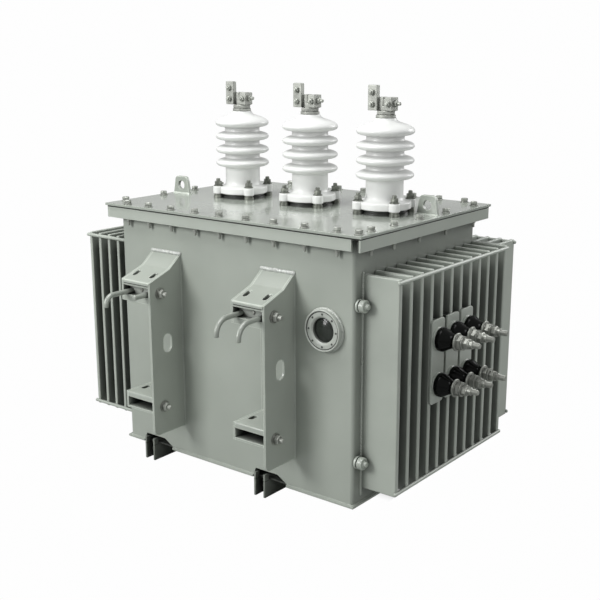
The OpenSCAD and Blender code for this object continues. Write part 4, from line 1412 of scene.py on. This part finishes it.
@dataclass
class SightGauge:
    """Round oil sight gauge on the front wall."""

    x: float = 294.0
    z: float = 465.0
    wall: float = -268.0
    flange_line: Profile = ((30, 0), (52.4, 0), (53, 0.8), (51.6, 2.2), (49.8, 3.2), (49.4, 4.4), (49.4, 13),
                            (48.6, 14.6), (47.4, 15), (46.2, 14.6), (45.4, 13.2), (45.4, 8.6), (30, 8.6))
    beads: int = 14
    bead_from: float = 5.0
    bead_step: float = 12.0
    bead_circle: float = 50.0
    ring_line: Profile = ((29.4, 0), (43.6, 0), (43.6, 3), (42.8, 4), (34.4, 4), (33.2, 3.6), (31.2, 1.8))
    ring_out: float = 8.6
    screws: int = 8
    screw_circle: float = 38.6
    screw_out: float = 12.4
    screw_line: Profile = ((0, 0), (2.5, 0), (2.5, 0.9), (1.9, 1.4), (1.2, 0.9), (0, 0.9))
    glass_r: float = 29.2
    glass_rise: float = 8.6
    glass_out: float = 1.6
    glass_rings: int = 16

    def around(self, radius: float, angle: float, out: float) -> tuple[float, float, float]:
        """Finds a point round the middle of the gauge.

        Args:
            radius: Distance from the middle.
            angle: Direction in degrees.
            out: Distance in front of the wall.

        Returns:
            The point in millimetres.
        """
        a = math.radians(angle)
        return (self.x + radius * math.cos(a), self.wall - out, self.z + radius * math.sin(a))

    def build(self) -> None:
        """Builds flange, ring, screws, glass and the oil behind it."""
        middle = [(self.x, self.wall - out, self.z) for out in (0, self.ring_out, self.glass_out)]
        flange, ring, screws, oil, glass = (Shape() for _ in range(5))
        flange.turned(middle[0], Way.FRONT, self.flange_line, 72, hollow=True)
        for k in range(self.beads):
            turns = [self.bead_from + self.bead_step * (k + d) for d in (0, 1)]
            flange.bead(*(self.around(self.bead_circle, turn, 2) for turn in turns), 2.8, 4, seed=60 + k)
        flange.piece("gauge_weld_flange", GAUGE_ENAMEL, "tank_paint", ("gauge_flange",))
        ring.turned(middle[1], Way.FRONT, self.ring_line, 72, hollow=True)
        ring.piece("gauge_clamp_ring", GAUGE_ENAMEL, "tank_paint", ("gauge_ring",))
        for k in range(self.screws):
            spot = self.around(self.screw_circle, 360 / self.screws * k, self.screw_out)
            screws.turned(spot, Way.FRONT, self.screw_line, 16)
        screws.piece("gauge_screws", RING_STEEL, "zinc_metal")
        oil.turned(middle[0], Way.FRONT, [(0, 0), (self.glass_r, 0), (self.glass_r, 0.8), (0, 1)], 48)
        oil.piece("gauge_oil", OIL, "gauge_glass")
        shares = [n / self.glass_rings for n in range(self.glass_rings - 1, -1, -1)]
        dome = [(self.glass_r * s, self.glass_rise * (1 - s ** 2)) for s in shares]
        glass.turned(middle[2], Way.FRONT, [(0, 0), (self.glass_r, 0)] + dome, 72)
        glass.piece("gauge_pane", GLASS, "gauge_glass", ("gauge_glass",))


@dataclass
class EarthBosses:
    """Two earth bosses on the right wall."""

    x: float = 374.0
    y: float = -252.0
    heights: tuple[float, float] = (157.0, 531.0)
    pad_line: Profile = ((0, 0), (14.8, 0), (15.5, 0.8), (15.5, 4.6), (14.6, 5.4), (0, 5.4))
    neck_line: Profile = ((0, 0), (11, 0), (11, 3.2), (0, 3.2))
    head_line: Profile = ((0, 0), (14, 0), (15, 0.8), (15, 10.6), (13.8, 12.2), (8.6, 12.6), (7.2, 13.2),
                          (7, 18), (5.4, 20), (2.5, 20.4), (0, 20.4))

    def build(self) -> None:
        """Builds both bosses."""
        shape = Shape()
        rows = ((0, self.pad_line, 40), (5.4, self.neck_line, 32), (8.6, self.head_line, 40))
        for z in self.heights:
            for out, line, sides in rows:
                shape.turned((self.x + out, self.y, z), Way.RIGHT, line, sides)
        shape.piece("earth_boss_bolts", BRACKET_ENAMEL, "zinc_metal", ("earth_bosses",))


@dataclass(frozen=True)
class Lamp:
    """One soft square lamp: places in metres, power in watts."""

    name: str
    place: tuple[float, float, float]
    aim: tuple[float, float, float]
    size: float
    power: float

    def hang(self) -> None:
        """Adds the lamp to the scene."""
        data = bpy.data.lights.new(self.name, "AREA")
        data.shape = "SQUARE"
        data.size = self.size
        data.energy = self.power
        lamp = bpy.data.objects.new(self.name, data)
        lamp.location = self.place
        lamp.rotation_euler = (Vector(self.aim) - Vector(self.place)).to_track_quat("-Z", "Y").to_euler()
        bpy.context.scene.collection.objects.link(lamp)


@dataclass
class Studio:
    """Camera, floor, backdrop light and lamps."""

    eye: tuple[float, float, float] = (1624.0, -2055.0, 1091.0)
    yaw: float = 38.11
    pitch: float = 14.02
    roll: float = 0.13
    lens: float = 60.9
    sensor: float = 36.0
    near: float = 0.05
    air: float = 0.14
    air_colour: tuple[float, float, float] = (0.93, 0.97, 1.0)
    shine: float = 0.5
    white: float = 0.99
    white_colour: tuple[float, float, float] = (1, 1, 1)
    floor_r: float = 9.0
    floor_colour: tuple[float, float, float] = (0.36, 0.37, 0.36)
    floor_rough: float = 0.9
    shade_low: tuple[float, float] = (-180.0, 10.0)
    shade_high: tuple[float, float] = (355.0, 290.0)
    shade_soft: tuple[float, float, float, float] = (0.18, 0.014, 0.12, 0.2)
    lamps: tuple[Lamp, ...] = (Lamp("key", (-1.5, -3.2, 2.0), (0, 0, 0.45), 1.6, 97),
                               Lamp("fill", (3.4, -1.2, 1.6), (0, 0, 0.45), 2.2, 27),
                               Lamp("back", (1.6, 3.2, 2.0), (0, 0, 0.45), 2.0, 65),
                               Lamp("top", (-0.3, -0.8, 3.2), (0, 0, 0.6), 2.0, 74))

    def camera(self) -> None:
        """Places the camera."""
        data = bpy.data.cameras.new("camera")
        data.lens = self.lens
        data.sensor_width = self.sensor
        data.clip_start = self.near
        cam = bpy.data.objects.new("camera", data)
        cam.location = metres(*self.eye)
        cam.rotation_euler = [math.radians(a) for a in (90 - self.pitch, self.roll, self.yaw)]
        bpy.context.scene.collection.objects.link(cam)
        bpy.context.scene.camera = cam

    def light(self, node: Shader, colour: Point, strength: float) -> Socket:
        """Sets a node to give even light.

        Args:
            node: Node to set.
            colour: Colour of the light.
            strength: Its strength.

        Returns:
            The light.
        """
        node.inputs["Color"].default_value = (*colour, 1)
        node.inputs["Strength"].default_value = strength
        return node.outputs[0]

    def either(self, tree: Tree, share: Socket, first: Socket, second: Socket) -> Socket:
        """Chooses between two shaders.

        Args:
            tree: Node tree to add to.
            share: Share of the second shader.
            first: First shader.
            second: Second shader.

        Returns:
            The mixed shader.
        """
        mix = tree.nodes.new("ShaderNodeMixShader")
        for number, socket in enumerate((share, first, second)):
            tree.links.new(socket, mix.inputs[number])
        return mix.outputs[0]

    def joined(self, tree: Tree, way: str, first: Socket, second: Socket) -> Socket:
        """Joins two values.

        Args:
            tree: Node tree to add to.
            way: Sum to do with them.
            first: First value.
            second: Second value.

        Returns:
            The result.
        """
        node = tree.nodes.new("ShaderNodeMath")
        node.operation = way
        tree.links.new(first, node.inputs[0])
        tree.links.new(second, node.inputs[1])
        return node.outputs[0]

    def world(self) -> None:
        """Lights the room softly and shows white behind the object."""
        world = bpy.data.worlds.new("studio")
        bpy.context.scene.world = world
        world.use_nodes = True
        tree = world.node_tree
        soft = self.light(tree.nodes["Background"], self.air_colour, self.air)
        white = self.light(tree.nodes.new("ShaderNodeBackground"), self.white_colour, self.white)
        shine = self.light(tree.nodes.new("ShaderNodeBackground"), self.white_colour, self.shine)
        rays = tree.nodes.new("ShaderNodeLightPath").outputs
        mirror = self.either(tree, rays["Is Glossy Ray"], soft, shine)
        plain = self.joined(tree, "MAXIMUM", rays["Is Camera Ray"], rays["Is Transmission Ray"])
        seen = self.either(tree, plain, mirror, white)
        tree.links.new(seen, tree.nodes["World Output"].inputs["Surface"])

    def floor(self) -> None:
        """Lays a pale floor that keeps a faint shadow."""
        bm = bmesh.new()
        bmesh.ops.create_circle(bm, cap_ends=True, radius=self.floor_r, segments=64)
        mesh = bpy.data.meshes.new("floor")
        bm.to_mesh(mesh)
        bm.free()
        floor = bpy.data.objects.new("floor", mesh)
        bpy.context.scene.collection.objects.link(floor)
        mat = bpy.data.materials.new("pale_floor")
        mat.use_nodes = True
        tree = mat.node_tree
        shader = tree.nodes["Principled BSDF"]
        shader.inputs["Base Color"].default_value = (*self.floor_colour, 1)
        shader.inputs["Roughness"].default_value = self.floor_rough
        white = self.light(tree.nodes.new("ShaderNodeEmission"), self.white_colour, self.white)
        seen = tree.nodes.new("ShaderNodeLightPath").outputs["Is Camera Ray"]
        share = self.joined(tree, "MULTIPLY", seen, self.clear_of_shadow(tree))
        surface = self.either(tree, share, shader.outputs[0], white)
        tree.links.new(surface, tree.nodes["Material Output"].inputs["Surface"])
        mesh.materials.append(mat)

    def clear_of_shadow(self, tree: Tree) -> Socket:
        """Says where the floor shows white and where it keeps the shadow under the tank.

        Args:
            tree: Node tree to add to.

        Returns:
            One in the open, falling to nought under the middle of the tank.
        """
        parts = tree.nodes.new("ShaderNodeSeparateXYZ")
        tree.links.new(tree.nodes.new("ShaderNodeTexCoord").outputs["Object"], parts.inputs[0])
        low, high = metres(*self.shade_low, 0), metres(*self.shade_high, 0)
        left, right, front, back = self.shade_soft
        spans = (("X", low.x, low.x - left), ("X", high.x, high.x + right),
                 ("Y", low.y, low.y - front), ("Y", high.y, high.y + back))
        share: Optional[Socket] = None
        for axis, first, last in spans:
            span = tree.nodes.new("ShaderNodeMapRange")
            span.interpolation_type = "SMOOTHSTEP"
            span.inputs["From Min"].default_value = first
            span.inputs["From Max"].default_value = last
            tree.links.new(parts.outputs[axis], span.inputs["Value"])
            out = span.outputs["Result"]
            share = out if share is None else self.joined(tree, "MAXIMUM", share, out)
        return share

    def build(self) -> None:
        """Sets up the whole studio."""
        bpy.context.scene.view_settings.view_transform = "Standard"
        self.camera()
        self.world()
        self.floor()
        for lamp in self.lamps:
            lamp.hang()


def main() -> None:
    """Builds every sub-assembly; each piece logs its face count."""
    logging.basicConfig(level=logging.INFO, format="%(message)s")
    Studio().build()
    Carried().dress()
    Tank().build()
    Cover().build()
    for side, x in (("left", -193.0), ("middle", 36.0), ("right", 265.0)):
        HighVoltageBushing(side, x).build()
    CoolingBanks().build()
    LowVoltageTerminals().build()
    HangerBracket("left", -212.0, bend=24.0).build()
    HangerBracket("right", 155.0).build()
    SightGauge().build()
    EarthBosses().build()


if __name__ == "__main__":
    main()
